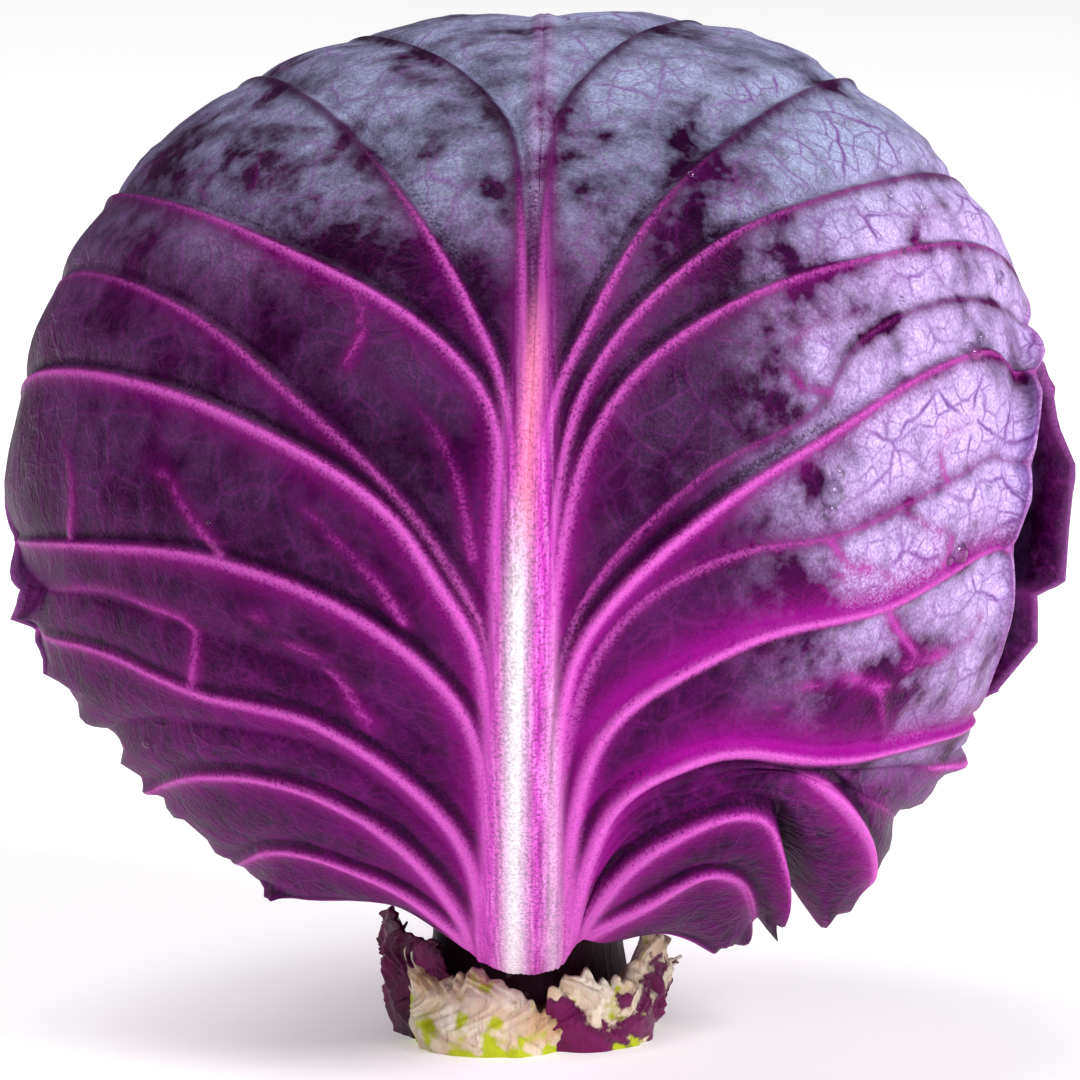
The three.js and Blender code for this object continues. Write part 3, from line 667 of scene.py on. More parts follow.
def common_leaf(azimuth, depth, half_width, tip, pairs, lean, stands, ruffles, curls, columns, rows):
    """A leaf of the common form, charted in degrees: side veins leave the midrib one after another and
    arch out to an oval edge. The lowest line on each side is the leaf's lower edge."""
    foot, power, lower_edge, lowest, highest = -75, 2.3, 67, 146, 15
    first_fork, last_fork = -66, 0.72 * tip

    def leaning(x, y):
        return [x + lean * math.sin(math.radians(y - foot)), y]

    def side(sign):
        routes = []
        for order in range(pairs + 1):
            share = order / pairs
            bearing = math.radians(lowest + (highest - lowest) * share ** 0.88)
            tall = tip if math.cos(bearing) > 0 else lower_edge
            oval = (math.sin(bearing) / half_width) ** power + (abs(math.cos(bearing)) / tall) ** power
            out = oval ** (-1 / power)
            end_x, end_y = math.sin(bearing) * out, math.cos(bearing) * out
            start = (pairs + 1 - order) * BUNDLE_STEP
            fork = first_fork + (last_fork - first_fork) * share ** 1.25
            arch = [(start, foot), (start + 0.5, (foot + fork) / 2), (start + 1.2, fork),
                    (start + 0.17 * end_x, fork + 0.42 * (end_y - fork)),
                    (start + 0.52 * end_x, fork + 0.82 * (end_y - fork)), (end_x, end_y)]
            routes.append([leaning(sign * x, y) for x, y in arch])
        return routes

    spine = [leaning(0, y) for y in (foot, foot / 2, 0, tip / 2, tip)]
    routes = side(-1) + [spine] + side(1)[::-1]
    last = len(routes) - 1
    lines = [line("edge" if index in (0, last) else "vein", route, stand=stands.get(index, 0),
                  ruffle=ruffles.get(index, 0.25), curl=curls.get(index, 0))
             for index, route in enumerate(routes)]
    return {"lines": lines, "branches": [], "facing": facing_of(azimuth, 0), "depth": depth,
            "midrib": pairs + 1, "ribs": 0.72, "swell": 0.35, "reach": 2, "columns": columns, "rows": rows}


def plain_colours(facts, tones):
    """Colours of a leaf of the common form: magenta near the foot, bloom towards the edge"""
    low = smooth_step(0.75, 0.15, facts["along"])
    upper = smooth_step(-20, 50, facts["flat"][..., 2] - GIRTH_HEIGHT)
    gap, width = facts["mid_gap"], facts["mid_width"]
    middle = np.exp(-((gap / (width * 0.95)) ** 4))
    pale = middle * smooth_step(0.75, 0.1, facts["along"]) * np.exp(-((gap / (width * 0.42)) ** 2))
    bloom = (0.05 + 0.35 * smooth_step(0.2, 0.8, facts["along"])) * (1 - 0.6 * np.clip(tones["glow"], 0, 1))
    bloom = bloom * smooth_step(1, 0.9, facts["along"])
    # The crease carries painted shade and the crest a painted highlight
    return {
        "bloom": bloom, "grey": 0.3 + 0.6 * upper,
        "flush": 0.25 + 0.6 * low, "midrib": middle * 0.9 * smooth_step(0.98, 0.6, facts["along"]),
        "pale": pale, "crease": tones["crease"] * 0.8,
        "glow": tones["glow"] * (0.85 - 0.35 * upper), "crest": tones["crest"] * (0.9 - 0.4 * upper),
    }


OUTER_SKIN = leaf_skin("waxy_red_cabbage_leaf", "#cfb4ee", "#a0a6c8")
left_leaf = common_leaf(
    azimuth=-97, depth=SIDE_DEPTH, half_width=70, tip=74, pairs=6, lean=2, stands={13: 2, 14: 3},
    ruffles={13: 1.0, 14: 1.0}, curls={}, columns=200, rows=117,
)
dress(left_leaf, "left_leaf", ["leaf_left"], plain_colours)
right_leaf = common_leaf(
    azimuth=80, depth=SIDE_DEPTH, half_width=66, tip=76, pairs=6, lean=-2, stands={0: 4, 1: 3},
    ruffles={0: 1.0, 1: 1.0}, curls={}, columns=200, rows=117,
)
dress(right_leaf, "right_leaf", ["leaf_right"], plain_colours)
back_leaf = common_leaf(
    azimuth=174, depth=BACK_DEPTH, half_width=88.5, tip=80, pairs=7, lean=3,
    stands={0: 3, 1: 2, 2: 4, 3: 2.5, 4: -1, 15: 1, 16: 2},
    ruffles={0: 1.0, 1: 1.2, 2: 1.2, 3: 0.6, 15: 1.0, 16: 1.0},
    curls={1: 60, 2: 150, 3: 150}, columns=300, rows=157,
)
dress(back_leaf, "back_leaf", ["leaf_back"], plain_colours)

# The front leaf
# The big leaf that wraps the whole front and the crown. Its midrib is as broad as a thumb at the foot,
# where all the side veins run beside it in one bundle, and ends below in a blunt, rounded tip. Low on
# the right the edge hangs in a heavy fold, and low on the left it is pleated.
VIEW_TILT = 10
FRONT_FOOT = (-1, -84)
FOOT_ROUNDING = 0.08
# The fan from the lower left edge over the crown to the lower right one. Points are millimetres across
# and up from the head's middle, as the camera sees them. After them come how far the line's end stands
# off the head, from what share of the line on, its ruffle in millimetres and its curl in degrees.
FRONT_LINES = [
    line("edge", [[-14, -75.6], [-22, -71], [-32, -69.5], [-40, -66.5]], 3, 0.5, 1.3),
    line("vein", [[-12, -74], [-20, -67.5], [-31, -62.5], [-41, -61], [-47.5, -62.5]], 2, 0.6, 1.3),
    line("vein", [[-10.6, -71.5], [-17.7, -61.8], [-26, -55], [-40, -49.6], [-53, -48.5], [-62, -50.8]],
         2, 0.6, 1.3),
    line("fold", [[-10, -66.5], [-17, -56], [-31, -45], [-48, -41], [-62, -40], [-71.5, -42]],
         2.5, 0.7, 1.3, bold=0),
    line("vein", [[-8.9, -61.8], [-17.7, -50], [-33.6, -39.5], [-52, -35], [-70, -28], [-81, -24.5]],
         4, 0.7, 0.9, 70),
    line("fold", [[-8.5, -55], [-16, -43.5], [-31, -33], [-52, -25.5], [-70, -19.5], [-81.5, -17.5]],
         1, 0.7, 0.3, 120, bold=0),
    line("vein", [[-7.7, -43], [-13, -33.5], [-26.4, -22.5], [-48.7, -13.5], [-70, -11], [-87, -10.5]],
         1, 0.7, 0, 60),
    line("vein", [[-7.4, -29], [-12.6, -19], [-22.8, -5], [-40, 6], [-61.7, 15], [-80, 17.5], [-112, 16]]),
    line("vein", [[-6.2, -27], [-11, -16.5], [-21, -2.6], [-34, 9.8], [-55.7, 27.3], [-74, 34], [-110, 38]],
         bold=0.7),
    line("vein", [[-4.8, -13.6], [-5.3, 10], [-15.8, 23.2], [-39.9, 37.1], [-62, 46], [-76, 50], [-104, 62]]),
    line("vein", [[-3.4, 12], [-8.2, 25.4], [-21, 46.5], [-35, 61.5], [-50, 70], [-77, 88]], ruffle=0.8),
    line("vein", [[-0.9, 42], [-3.4, 57], [-14, 68.3], [-30.5, 77], [-46, 101]], ruffle=0.8),
    line("midrib", [[0, -3.4], [1.7, 30.7], [2.4, 64.7], [3, 82], [4, 111]], ruffle=0.6),
    line("vein", [[3.1, 44], [6.2, 60], [14, 69.5], [28, 77], [44, 103]], ruffle=0.8),
    line("vein", [[3.3, 8], [10, 24.4], [21.6, 43.6], [40, 60.1], [53, 66.5], [69, 82]], ruffle=0.8),
    line("vein", [[4.7, -2], [11, 17.5], [30.3, 37.1], [52, 46.5], [70, 50], [88, 54]], ruffle=0.4),
    line("vein", [[5.6, -9], [14, 12.5], [31.5, 26.8], [56.7, 35.9], [75.5, 38], [86, 34]], 1),
    line("vein", [[5.8, -28], [12, -15.5], [29, 1], [46, 10.6], [54, 22], [68, 29], [78, 29], [83, 25.5]],
         curl=70, bold=0.6),
    line("vein", [[6.7, -31], [13.6, -19.5], [31.5, -4], [48, 6.6], [66.8, 18], [77.5, 20.5], [82, 15]],
         curl=150, bold=1.2),
    line("vein", [[7.5, -37], [17, -21], [33, -12.5], [50.3, -9.2], [67, -1.5], [77, 3.5], [81, 2]],
         curl=150, bold=0.7, over=0.6),
    line("vein", [[8.3, -50], [14, -38.5], [34.4, -26.6], [59.6, -20.3], [74, -12.5], [78.5, -11]],
         curl=110, bold=1.2, over=1),
    line("vein", [[9.4, -62], [16, -50.5], [31, -44], [49, -45.5], [64, -43.2], [73, -39.5]],
         2, bold=1.35, over=1),
    line("fold", [[9.7, -63.5], [16.8, -52.5], [31.5, -46], [46, -47.5], [62, -47.2], [72.2, -46]],
         3, 0.6, 1, bold=1.2, begin=0.8),
    line("fold", [[10, -65], [17.2, -54.5], [32, -48], [46, -48.5], [59, -54], [64.5, -60]],
         2, 0.5, 1.4, bold=0.6, begin=0.7),
    line("fold", [[10.2, -66.5], [17.4, -56.5], [32, -49.6], [45, -48.2], [53, -55.5], [54.5, -67.5]],
         7, 0.4, 1.2, bold=1.7, begin=0.55),
    line("fold", [[10.3, -68], [17.6, -58], [32, -51], [42.5, -51.5], [48, -60], [48.5, -73.5]],
         6, 0.4, 1.6, bold=0.6, begin=0.85),
    line("fold", [[10.5, -69.5], [17.8, -60], [32, -52.6], [40.5, -53.4], [43.5, -58.5], [44, -68]],
         -9, 0.45, 1.2, bold=0),
    line("vein", [[10.6, -70.5], [18, -61.8], [31, -55], [38, -55], [41, -61.5], [40.5, -69]], 6, 0.5, 1.5),
    line("vein", [[11.8, -73.8], [20, -69], [29.5, -64.5], [35, -66], [37, -73]], 1, 0.5, 1.8),
    line("edge", [[13, -77.2], [20, -76], [27, -76], [32, -78]], 5, 0.4, 1.8),
]
# Places in the fan, counted in lines: the midrib, how many lines on each side of it stand at full
# spacing at the foot, and the valley and fold low on the right, where shade is painted
FRONT_MIDRIB = 12
FRONT_CROWDED = 9
FRONT_VALLEY = 26
FRONT_FOLD = 23.4
FRONT_BRANCHES = [
    [[-75.3, 6.3], [-74.1, 2.2], [-73.6, -3.4], [-74.5, -9.5]],
    [[-62, 2.6], [-57.4, 0], [-55.2, -3.9], [-52.3, -8.5], [-48.9, -12.5]],
    [[-37, -3.4], [-33, -6.8], [-28.4, -11.9], [-23.9, -16.5], [-19.5, -23]],
    [[-79, -18.2], [-68.1, -18.4], [-61.3, -21], [-56.2, -22.7], [-53.7, -25.6], [-53.5, -29.5],
     [-54.3, -34]],
    [[-45.5, -21], [-41.6, -23.3], [-38.7, -26.1], [-33, -29.5], [-29.6, -33.6], [-25, -40]],
    [[-25.6, 17], [-21.6, 14.1], [-14.8, 7.3], [-11.4, 2.2], [-10.2, -4.6], [-8.5, -13]],
    [[-66.3, 55.4], [-56.9, 56.9], [-45.8, 56.6], [-33, 56.5]],
    [[-30, 34], [-27, 29], [-26, 23], [-28, 18]],
    [[45.3, -20.4], [48.7, -16.5], [50.4, -14.1], [48.7, -10.2]],
    [[61.8, -18.7], [57.2, -15.3], [50.4, -14.1]],
    [[58.1, -43], [57.6, -34.1], [62.4, -29], [60.1, -25], [58.4, -21.5]],
    [[73.8, -22.1], [72.1, -25.6], [69.2, -27.8], [62.4, -29]],
    [[35.8, -43], [38.5, -37.5], [43.1, -34.6], [49.9, -31.9], [57.6, -34.1]],
    [[59.6, -4.6], [65.8, -8.5], [68.7, -10.2], [67.8, -15]],
    [[54.5, 27.3], [47.7, 25], [44.3, 22.7], [42.6, 20.4], [42.6, 15], [49, 13.6]],
    [[46.5, 69.5], [37.1, 66.8], [30.3, 63.9], [27.8, 60.5], [24.5, 54]],
    [[69.5, 46], [65.8, 43.8], [63.5, 41.4], [63.5, 37]],
    [[72, 9], [68.5, 8], [66.8, 4], [68.5, -0.5]],
]

facing = facing_of(0, VIEW_TILT)
for index, strand in enumerate(FRONT_LINES):
    offset = index - FRONT_MIDRIB
    crowd = np.sign(offset) * max(0, abs(offset) - FRONT_CROWDED)
    aside = (offset - 0.55 * crowd) * BUNDLE_STEP
    foot = (FRONT_FOOT[0] + aside, FRONT_FOOT[1] + FOOT_ROUNDING * aside ** 2)
    strand["route"] = [seen(facing, foot)] + [seen(facing, point) for point in strand["route"]]
front_leaf = {"lines": FRONT_LINES, "facing": facing, "depth": 0, "midrib": FRONT_MIDRIB, "ribs": 1,
              "branches": [[seen(facing, point) for point in route] for route in FRONT_BRANCHES],
              "swell": 0.3, "reach": 4, "columns": 440, "rows": 201}


def front_colours(facts, tones):
    """Colours of the front leaf: magenta low down, deep purple on the left, lilac bloom with painted sheen on
    the right, grey bloom on the crown, and a pale midrib with a painted highlight on its right flank. Shade
    is painted in the vein creases and in the valley and fold low on the right"""
    flat, position, along = facts["flat"], facts["position"], facts["along"]
    tilt = math.radians(VIEW_TILT)
    x = flat[..., 0]
    z = (flat[..., 2] - GIRTH_HEIGHT) * math.cos(tilt) + flat[..., 1] * math.sin(tilt)
    # Zones of the leaf, by x and z: millimetres across and up from the head's middle, as the camera sees it
    lower = smooth_step(10, -60, z)
    crown = smooth_step(26, 62, z)
    part = (position % 1)[:, None]
    panel = smooth_step(0, 0.75, 4 * part * (1 - part))
    right = smooth_step(28, 64, x) * smooth_step(-75, 0, z)
    left = smooth_step(-15, -70, x)
    inner = smooth_step(-30, 20, z) * smooth_step(-45, 0, x)
    # Painted shade: dark purple in the valley and between the folds of the flap low on the right
    valley_shade = smooth_step(0.85, 0.1, np.abs(position - FRONT_VALLEY))[:, None] * smooth_step(0.5, 0.75, along)
    fold = smooth_step(0.5, 0.1, np.abs(position - FRONT_FOLD))[:, None] * smooth_step(0.72, 0.85, along)
    gap, width = facts["mid_gap"], facts["mid_width"]
    across = gap * np.where(position < FRONT_MIDRIB, -1, 1)[:, None]
    middle = np.exp(-((gap / (width * 1.02)) ** 5))
    pale = 0.9 * np.exp(-((np.abs(across + 1.1) / 1.9) ** 2)) * smooth_step(2, -22, z)
    # A painted highlight down the right flank of the midrib, low on the leaf
    midrib_flank_highlight = 0.55 * np.exp(-(((across - 5.4) / 1.6) ** 2)) * smooth_step(-10, -45, z)
    salmon = np.exp(-((across / 1.5) ** 2)) * smooth_step(-20, -4, z) * smooth_step(34, 12, z)
    flap = smooth_step(-44, -50, z) * smooth_step(36, 42, x)
    # On the right the lilac is the wax bloom together with painted sheen from the key light, strongest on the
    # middle of each panel
    bloom = 0.86 * right * (0.48 + 0.52 * panel) + 0.02 * (1 - lower)
    bloom = bloom + (0.58 - 0.42 * left) * crown * (1 - right) * (0.68 + 0.32 * panel)
    bloom = bloom * (1 - 0.75 * lower * (1 - right)) * (1 - 0.5 * flap)
    bloom = bloom * (1 - 0.6 * np.clip(tones["glow"], 0, 1))
    bloom = bloom * (1 - 0.85 * np.clip(1.4 * tones["crest"], 0, 1))
    grey = crown * 1.2 - 0.6 * smooth_step(40, 80, x) + 0.3 * (1 - right)
    shade = 1 - 0.8 * crown * (1 - 0.3 * smooth_step(0, 60, x))
    # Painted shade in the vein creases, weaker on the crown and on the right
    crease = tones["crease"] * (1 - 0.6 * crown) * (1 - 0.7 * right)
    return {
        "bloom": np.clip(bloom, 0, 1), "grey": np.clip(grey, 0, 1),
        "flush": np.clip(0.02 + 0.2 * left + 0.48 * lower + 0.2 * right + 0.2 * flap, 0, 1) * (1 - crown),
        "midrib": middle * (1 - 0.88 * smooth_step(-10, 32, z)) * smooth_step(-0.02, 0.02, along),
        # The pale attribute carries the midrib's pale stripe and its painted highlight
        "pale": middle * np.maximum(pale, midrib_flank_highlight), "salmon": middle * salmon * 0.8,
        "glow": tones["glow"] * (shade + 0.1 * right) * (1 - 0.35 * inner),
        "crest": tones["crest"] * (0.1 + 0.9 * shade) * (1 - 0.2 * inner),
        "crease": np.maximum(crease, np.maximum(valley_shade, 0.7 * fold)),
    }


front_piece = dress(front_leaf, "front_leaf", ["leaf_front"], front_colours)

# The water drops
# Drops of clean water that stayed on the waxy leaf after the head was rinsed. Each stands up as a low
# dome. Each is given by where the camera sees it, in millimetres across and up from the head's middle,
# and by its radius.
DROPS = [
    (49.9, -2.4, 2.3), (50.8, 0.1, 1.4), (49.2, -5.2, 1.4), (73.4, 21.3, 2.0), (75.5, 23.2, 1.2),
    (71.2, -11.9, 2.2), (68.8, -13.3, 1.4), (79.2, 34.4, 1.5), (60.1, 46.8, 1.1), (65.8, 44.8, 1.1),
    (74.7, 44.5, 0.8), (61.8, 29, 0.8), (53.3, 25, 0.5), (50.4, 8.9, 0.5), (76.4, -1.7, 0.7),
    (62.4, 37.6, 0.6), (-63.7, -43.6, 0.9), (-22.1, 41.7, 0.6), (26.9, 49.4, 0.8), (40, -27, 0.5),
    (33, -16, 0.5), (56.5, -29.5, 0.45), (-52.4, -7.9, 0.5), (67.5, 16.5, 0.5),
]
DROP_SEGMENTS = 16
DROP_RINGS = 10
DROP_FLATNESS = 0.75

# Water: clear and colourless, with the smooth skin of a liquid. It gives the eye small bright glints.
CLEAN_WATER, tree = new_material("clean_water")
shader = add(tree, "ShaderNodeBsdfPrincipled", {
    "Base Color": "#ffffff", "Roughness": 0.02, "IOR": 1.333, "Transmission Weight": 1.0,
})
add(tree, "ShaderNodeOutputMaterial", {"Surface": shader})

spots = np.empty(len(front_piece.data.vertices) * 3, dtype=np.float32)
front_piece.data.vertices.foreach_get("co", spots)
normals = np.empty_like(spots)
front_piece.data.vertices.foreach_get("normal", normals)
spots, normals = spots.reshape(-1, 3), normals.reshape(-1, 3)
tilt = math.radians(VIEW_TILT)
rise = (spots[:, 2] * 1000 - GIRTH_HEIGHT) * math.cos(tilt) + spots[:, 1] * 1000 * math.sin(tilt)
facing_us = normals[:, 2] * math.sin(tilt) - normals[:, 1] * math.cos(tilt) > 0.05
picked = []
for across, upward, _ in DROPS:
    away = np.where(facing_us, np.hypot(spots[:, 0] * 1000 - across, rise - upward), np.inf)
    picked.append(int(away.argmin()))
seeds = bpy.data.meshes.new("drop_places")
seeds.from_pydata([tuple(spots[index]) for index in picked], [], [])
seeds.attributes.new("radius", "FLOAT", "POINT").data.foreach_set("value", [drop[2] / 1000 for drop in DROPS])
seeds.attributes.new("upright", "FLOAT_VECTOR", "POINT").data.foreach_set("vector", normals[picked].ravel())

tree = bpy.data.node_groups.new("water_drops", "GeometryNodeTree")
tree.interface.new_socket("Geometry", in_out="INPUT", socket_type="NodeSocketGeometry")
flatness = tree.interface.new_socket("Flatness", in_out="INPUT", socket_type="NodeSocketFloat")
tree.interface.new_socket("Geometry", in_out="OUTPUT", socket_type="NodeSocketGeometry")
given = tree.nodes.new("NodeGroupInput")
radius = add(tree, "GeometryNodeInputNamedAttribute", {"Name": "radius"}, data_type="FLOAT")
upright = add(tree, "GeometryNodeInputNamedAttribute", {"Name": "upright"}, data_type="FLOAT_VECTOR")
dome = add(tree, "GeometryNodeMeshUVSphere", {"Segments": DROP_SEGMENTS, "Rings": DROP_RINGS, "Radius": 1.0})
turn = add(tree, "FunctionNodeAlignRotationToVector", {"Vector": upright}, axis="Z")
low = add(tree, "ShaderNodeMath", {0: radius, 1: given.outputs["Flatness"]}, operation="MULTIPLY")
size = add(tree, "ShaderNodeCombineXYZ", {"X": radius, "Y": radius, "Z": low})
drops = add(tree, "GeometryNodeInstanceOnPoints", {
    "Points": given.outputs["Geometry"], "Instance": dome, "Rotation": turn, "Scale": size,
})
drops = add(tree, "GeometryNodeRealizeInstances", {"Geometry": drops})
drops = add(tree, "GeometryNodeSetShadeSmooth", {"Geometry": drops})
drops = add(tree, "GeometryNodeSetMaterial", {"Geometry": drops, "Material": CLEAN_WATER})
tree.links.new(drops, tree.nodes.new("NodeGroupOutput").inputs["Geometry"])
holder = bpy.data.objects.new("drop_places", seeds)
bpy.context.scene.collection.objects.link(holder)
scatter = holder.modifiers.new("drops", "NODES")
scatter.node_group = tree
scatter[flatness.identifier] = DROP_FLATNESS
bpy.context.view_layer.update()
evaluated = holder.evaluated_get(bpy.context.evaluated_depsgraph_get())
water_mesh = bpy.data.meshes.new_from_object(evaluated)
bpy.data.objects.remove(holder)
water = bpy.data.objects.new("water_drops", water_mesh)
bpy.context.scene.collection.objects.link(water)
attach(water, "root")

# The stubs
# What is left of leaves that were cut off the stalk. Each clasps it, thick and fleshy in the middle and
# thin at the sides, is cut off level with it below, and ends above in a torn, curling edge. The skin
# outside is wine purple, the flesh in the tears is cream, and some edges have turned yellow-green.
STALK_GIRTH = 18.6
STUB_GAP = 0.5
KNOB_HEIGHT = 1.8
THINNEST = 0.6
STUB_COLUMNS = 145
STUB_ROWS = 65
# The azimuth and half width of each in degrees, its height and thickness, how far it leans out, how
# rough its tear is and how much higher its right end is, in millimetres, and its share of wine skin
STUBS = {
    "stub_front": (-25, 40, 13, 8.6, 2.5, 1.6, -3.6, 0.1),
    "stub_right": (44, 36, 16, 6.6, 6, 2.6, 1.5, 0.42),
    "stub_left": (-74, 38, 20, 4.4, 4.5, 1.4, 3, 1),
    "stub_back": (172, 30, 11, 5.2, 2.5, 2.2, 0, 0.5),
    "stub_rear_left": (-136, 18, 8, 3.8, 2, 1.4, 0, 0.4),
    "stub_rear_right": (108, 27, 10, 4.8, 3, 1.8, 0, 0.5),
}

# Torn leaf base: wet cream flesh that breaks along its fibres, under a thin wine-purple skin. It gives
# the eye a patchwork of matt cream, glossy purple and yellow-green where it has started to turn, in
# patches of 8 mm, with fibres 1 mm wide.
TORN_STUB, tree = new_material("torn_leaf_base")
place = add(tree, "ShaderNodeTexCoord", out="Object")
wine = add(tree, "ShaderNodeAttribute", attribute_name="wine", out="Fac")
climb = add(tree, "ShaderNodeAttribute", attribute_name="climb", out="Fac")
upright = add(tree, "ShaderNodeMapping", {"Vector": place, "Scale": (1, 1, 0.3)})
patches = add(tree, "ShaderNodeTexNoise", {"Vector": place, "Scale": 120, "Detail": 4, "Roughness": 0.55})
fibres = add(tree, "ShaderNodeTexNoise", {"Vector": upright, "Scale": 900, "Detail": 4, "Roughness": 0.65})
turning = add(tree, "ShaderNodeTexNoise", {"Vector": place, "Scale": 200, "Detail": 2})
flesh = add(tree, "ShaderNodeValToRGB", {"Fac": patches}, out="Color",
            stops=[(0.36, "#fbf2e0"), (0.66, "#dcb88e")])
stringy = add(tree, "ShaderNodeMapRange", {
    "Value": fibres, "From Min": 0.54, "From Max": 0.7, "To Max": 0.55,
})
flesh = add(tree, "ShaderNodeMix", {"Factor": stringy, "A": flesh, "B": "#8f5a44"}, data_type="RGBA")
low = add(tree, "ShaderNodeMapRange", {"Value": climb, "From Max": 0.7, "To Min": 0.14, "To Max": -0.12})
low = add(tree, "ShaderNodeMath", {0: low, 1: turning}, operation="ADD")
turned = add(tree, "ShaderNodeMapRange", {"Value": low, "From Min": 0.5, "From Max": 0.6})
flesh = add(tree, "ShaderNodeMix", {"Factor": turned, "A": flesh, "B": "#c3cf22"}, data_type="RGBA")
skin = add(tree, "ShaderNodeValToRGB", {"Fac": patches}, out="Color",
           stops=[(0.35, "#30041c"), (0.62, "#7a1258")])
shown = add(tree, "ShaderNodeMath", {0: patches, 1: 1.3, 2: wine}, operation="MULTIPLY_ADD")
torn = add(tree, "ShaderNodeMapRange", {"Value": climb, "From Min": 0.8, "From Max": 1, "To Max": 0.35})
shown = add(tree, "ShaderNodeMath", {0: shown, 1: torn}, operation="SUBTRACT")
covered = add(tree, "ShaderNodeMapRange", {"Value": shown, "From Min": 1.04, "From Max": 1.1})
tone = add(tree, "ShaderNodeMix", {"Factor": covered, "A": flesh, "B": skin}, data_type="RGBA")
height = add(tree, "ShaderNodeMath", {0: covered, 1: 0.25, 2: fibres}, operation="MULTIPLY_ADD")
bump = add(tree, "ShaderNodeBump", {"Height": height, "Distance": 0.0007, "Strength": 0.8})
rough = add(tree, "ShaderNodeMapRange", {"Value": covered, "To Min": 0.5, "To Max": 0.32})
shader = add(tree, "ShaderNodeBsdfPrincipled", {
    "Base Color": tone, "Roughness": rough, "Normal": bump, "IOR": 1.4, "Specular IOR Level": 0.3,
    "Subsurface Weight": 0.1, "Subsurface Scale": 0.002,
})
add(tree, "ShaderNodeOutputMaterial", {"Surface": shader})

for order, (node, sizes) in enumerate(STUBS.items()):
    azimuth, half_width, tall, thick, lean, tear, slant, wine = sizes
    across = np.linspace(-1, 1, STUB_COLUMNS)[None, :]
    up = np.linspace(0, 1, STUB_ROWS)[:, None]
    bearing = np.radians(azimuth + across * half_width)
    ragged = np.sin(across * 5 + azimuth) + 0.8 * ripple(across * 8, order, 7, 0.7)
    ragged = tall + slant * across + tear * ragged - 0.25 * tall * across ** 2
    height = up * ragged
    knobs = ripple(across * 5 + 3 * np.sin(up * 3), 20 + order, 4, 0.5) * np.sin(up * math.pi)
    knobs = KNOB_HEIGHT * knobs * np.sin(up * 5 + 4 * across + order)
    near = STALK_GIRTH + STUB_GAP + lean * up ** 2
    crumple = 0.9 * ripple(across * 8 + 2 * np.sin(height * 0.5), 60 + order, 7, 0.5) * up ** 1.3
    near = near + np.maximum(0, crumple + 0.6)
    far = near + thick * (1 - 0.72 * across ** 2) * (1 - 0.75 * up ** 2.2)
    far = far + (knobs + 0.5 * ripple(height * 0.4 + across * 3, 40 + order, 4) * up) * (1 - across ** 4)
    foot = (1.3 + 0.7 * ripple(across * 6, 80 + order, 5)) * np.exp(-((height / 2.4) ** 2))
    far = np.maximum(far - foot, near + THINNEST)
    outer, inner = (np.stack([np.sin(bearing) * radius, -np.cos(bearing) * radius, height + 0 * radius], -1)
                    for radius in (far, near))
    upward = np.stack([0 * far, 0 * far, up + 0 * far], -1)
    points, faces, spread, _ = closed_sheet(outer, inner, upward)
    points[:, 2] = np.maximum(points[:, 2], 0)
    attributes = {"climb": spread(up + 0 * across), "wine": spread(wine + 0 * far)}
    make_piece(node.replace("stub", "torn_stub"), points, faces, TORN_STUB, [node], attributes)

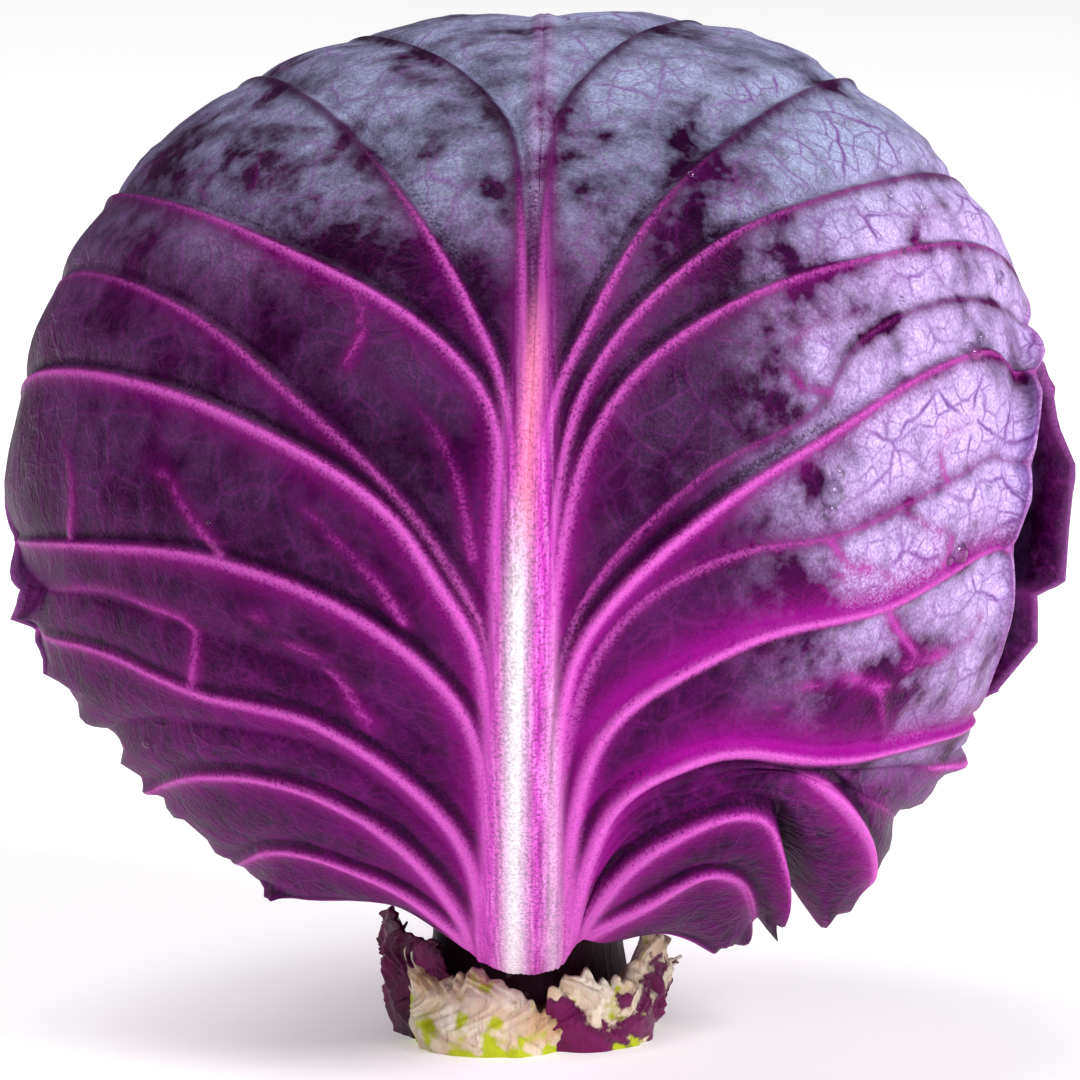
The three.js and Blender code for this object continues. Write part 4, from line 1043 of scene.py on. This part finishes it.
# The floor, the light and the camera
# A plain pale floor under soft studio light: a key from the upper right in front, a broad lamp above,
# and a faint fill from the left. The camera stands in front, a little above the head's middle.
FLOOR_SIZE = 4.0
FLOOR_GLOW = 0.3
SKY_STRENGTH = 0.16
floor_mesh = bpy.data.meshes.new("floor")
half = FLOOR_SIZE / 2
corners = [(-half, -half, 0), (half, -half, 0), (half, half, 0), (-half, half, 0)]
floor_mesh.from_pydata(corners, [], [(0, 1, 2, 3)])
floor = bpy.data.objects.new("floor", floor_mesh)
bpy.context.scene.collection.objects.link(floor)
paper, tree = new_material("white_studio_paper")
shader = add(tree, "ShaderNodeBsdfPrincipled", {
    "Base Color": "#fbfafa", "Roughness": 0.9, "Emission Color": "#ffffff", "Emission Strength": FLOOR_GLOW,
})
add(tree, "ShaderNodeOutputMaterial", {"Surface": shader})
floor_mesh.materials.append(paper)

world = bpy.data.worlds.new("studio")
bpy.context.scene.world = world
world.use_nodes = True
world.node_tree.nodes["Background"].inputs["Color"].default_value = (1, 1, 1, 1)
world.node_tree.nodes["Background"].inputs["Strength"].default_value = SKY_STRENGTH
bpy.context.scene.view_settings.view_transform = "Standard"


def aim_from(place, aim):
    """The turn of a camera or lamp at a place that looks at a point"""
    x, y, z = (goal - here for goal, here in zip(aim, place))
    return (math.atan2(math.hypot(x, y), -z), 0, math.atan2(-x, y))


def lamp(name, place, size, watts):
    """A square soft light at a place, turned to the head's middle"""
    light = bpy.data.lights.new(name, "AREA")
    light.shape = "SQUARE"
    light.size = size
    light.energy = watts
    holder = bpy.data.objects.new(name, light)
    holder.location = place
    holder.rotation_euler = aim_from(place, (0, 0, GIRTH_HEIGHT / 1000))
    bpy.context.scene.collection.objects.link(holder)


lamp("key", (1.7, -1.3, 1.4), 0.9, 55)
lamp("top", (-0.8, 0.3, 2.2), 1.8, 36)
lamp("fill", (-1.9, -1.4, 0.7), 1.2, 6)

DISTANCE = 1.6
VIEW_WIDTH = 0.184
MIDDLE_RIGHT, MIDDLE_DOWN = 0.0022, 0.0102
SENSOR_WIDTH = 36
camera_data = bpy.data.cameras.new("camera")
camera_data.sensor_width = SENSOR_WIDTH
camera_data.lens = SENSOR_WIDTH * DISTANCE / VIEW_WIDTH
camera = bpy.data.objects.new("camera", camera_data)
tilt = math.radians(VIEW_TILT)
aim = (MIDDLE_RIGHT, -MIDDLE_DOWN * math.sin(tilt), GIRTH_HEIGHT / 1000 - MIDDLE_DOWN * math.cos(tilt))
camera.location = (aim[0], aim[1] - DISTANCE * math.cos(tilt), aim[2] + DISTANCE * math.sin(tilt))
camera.rotation_euler = aim_from(camera.location, aim)
bpy.context.scene.collection.objects.link(camera)
bpy.context.scene.camera = camera
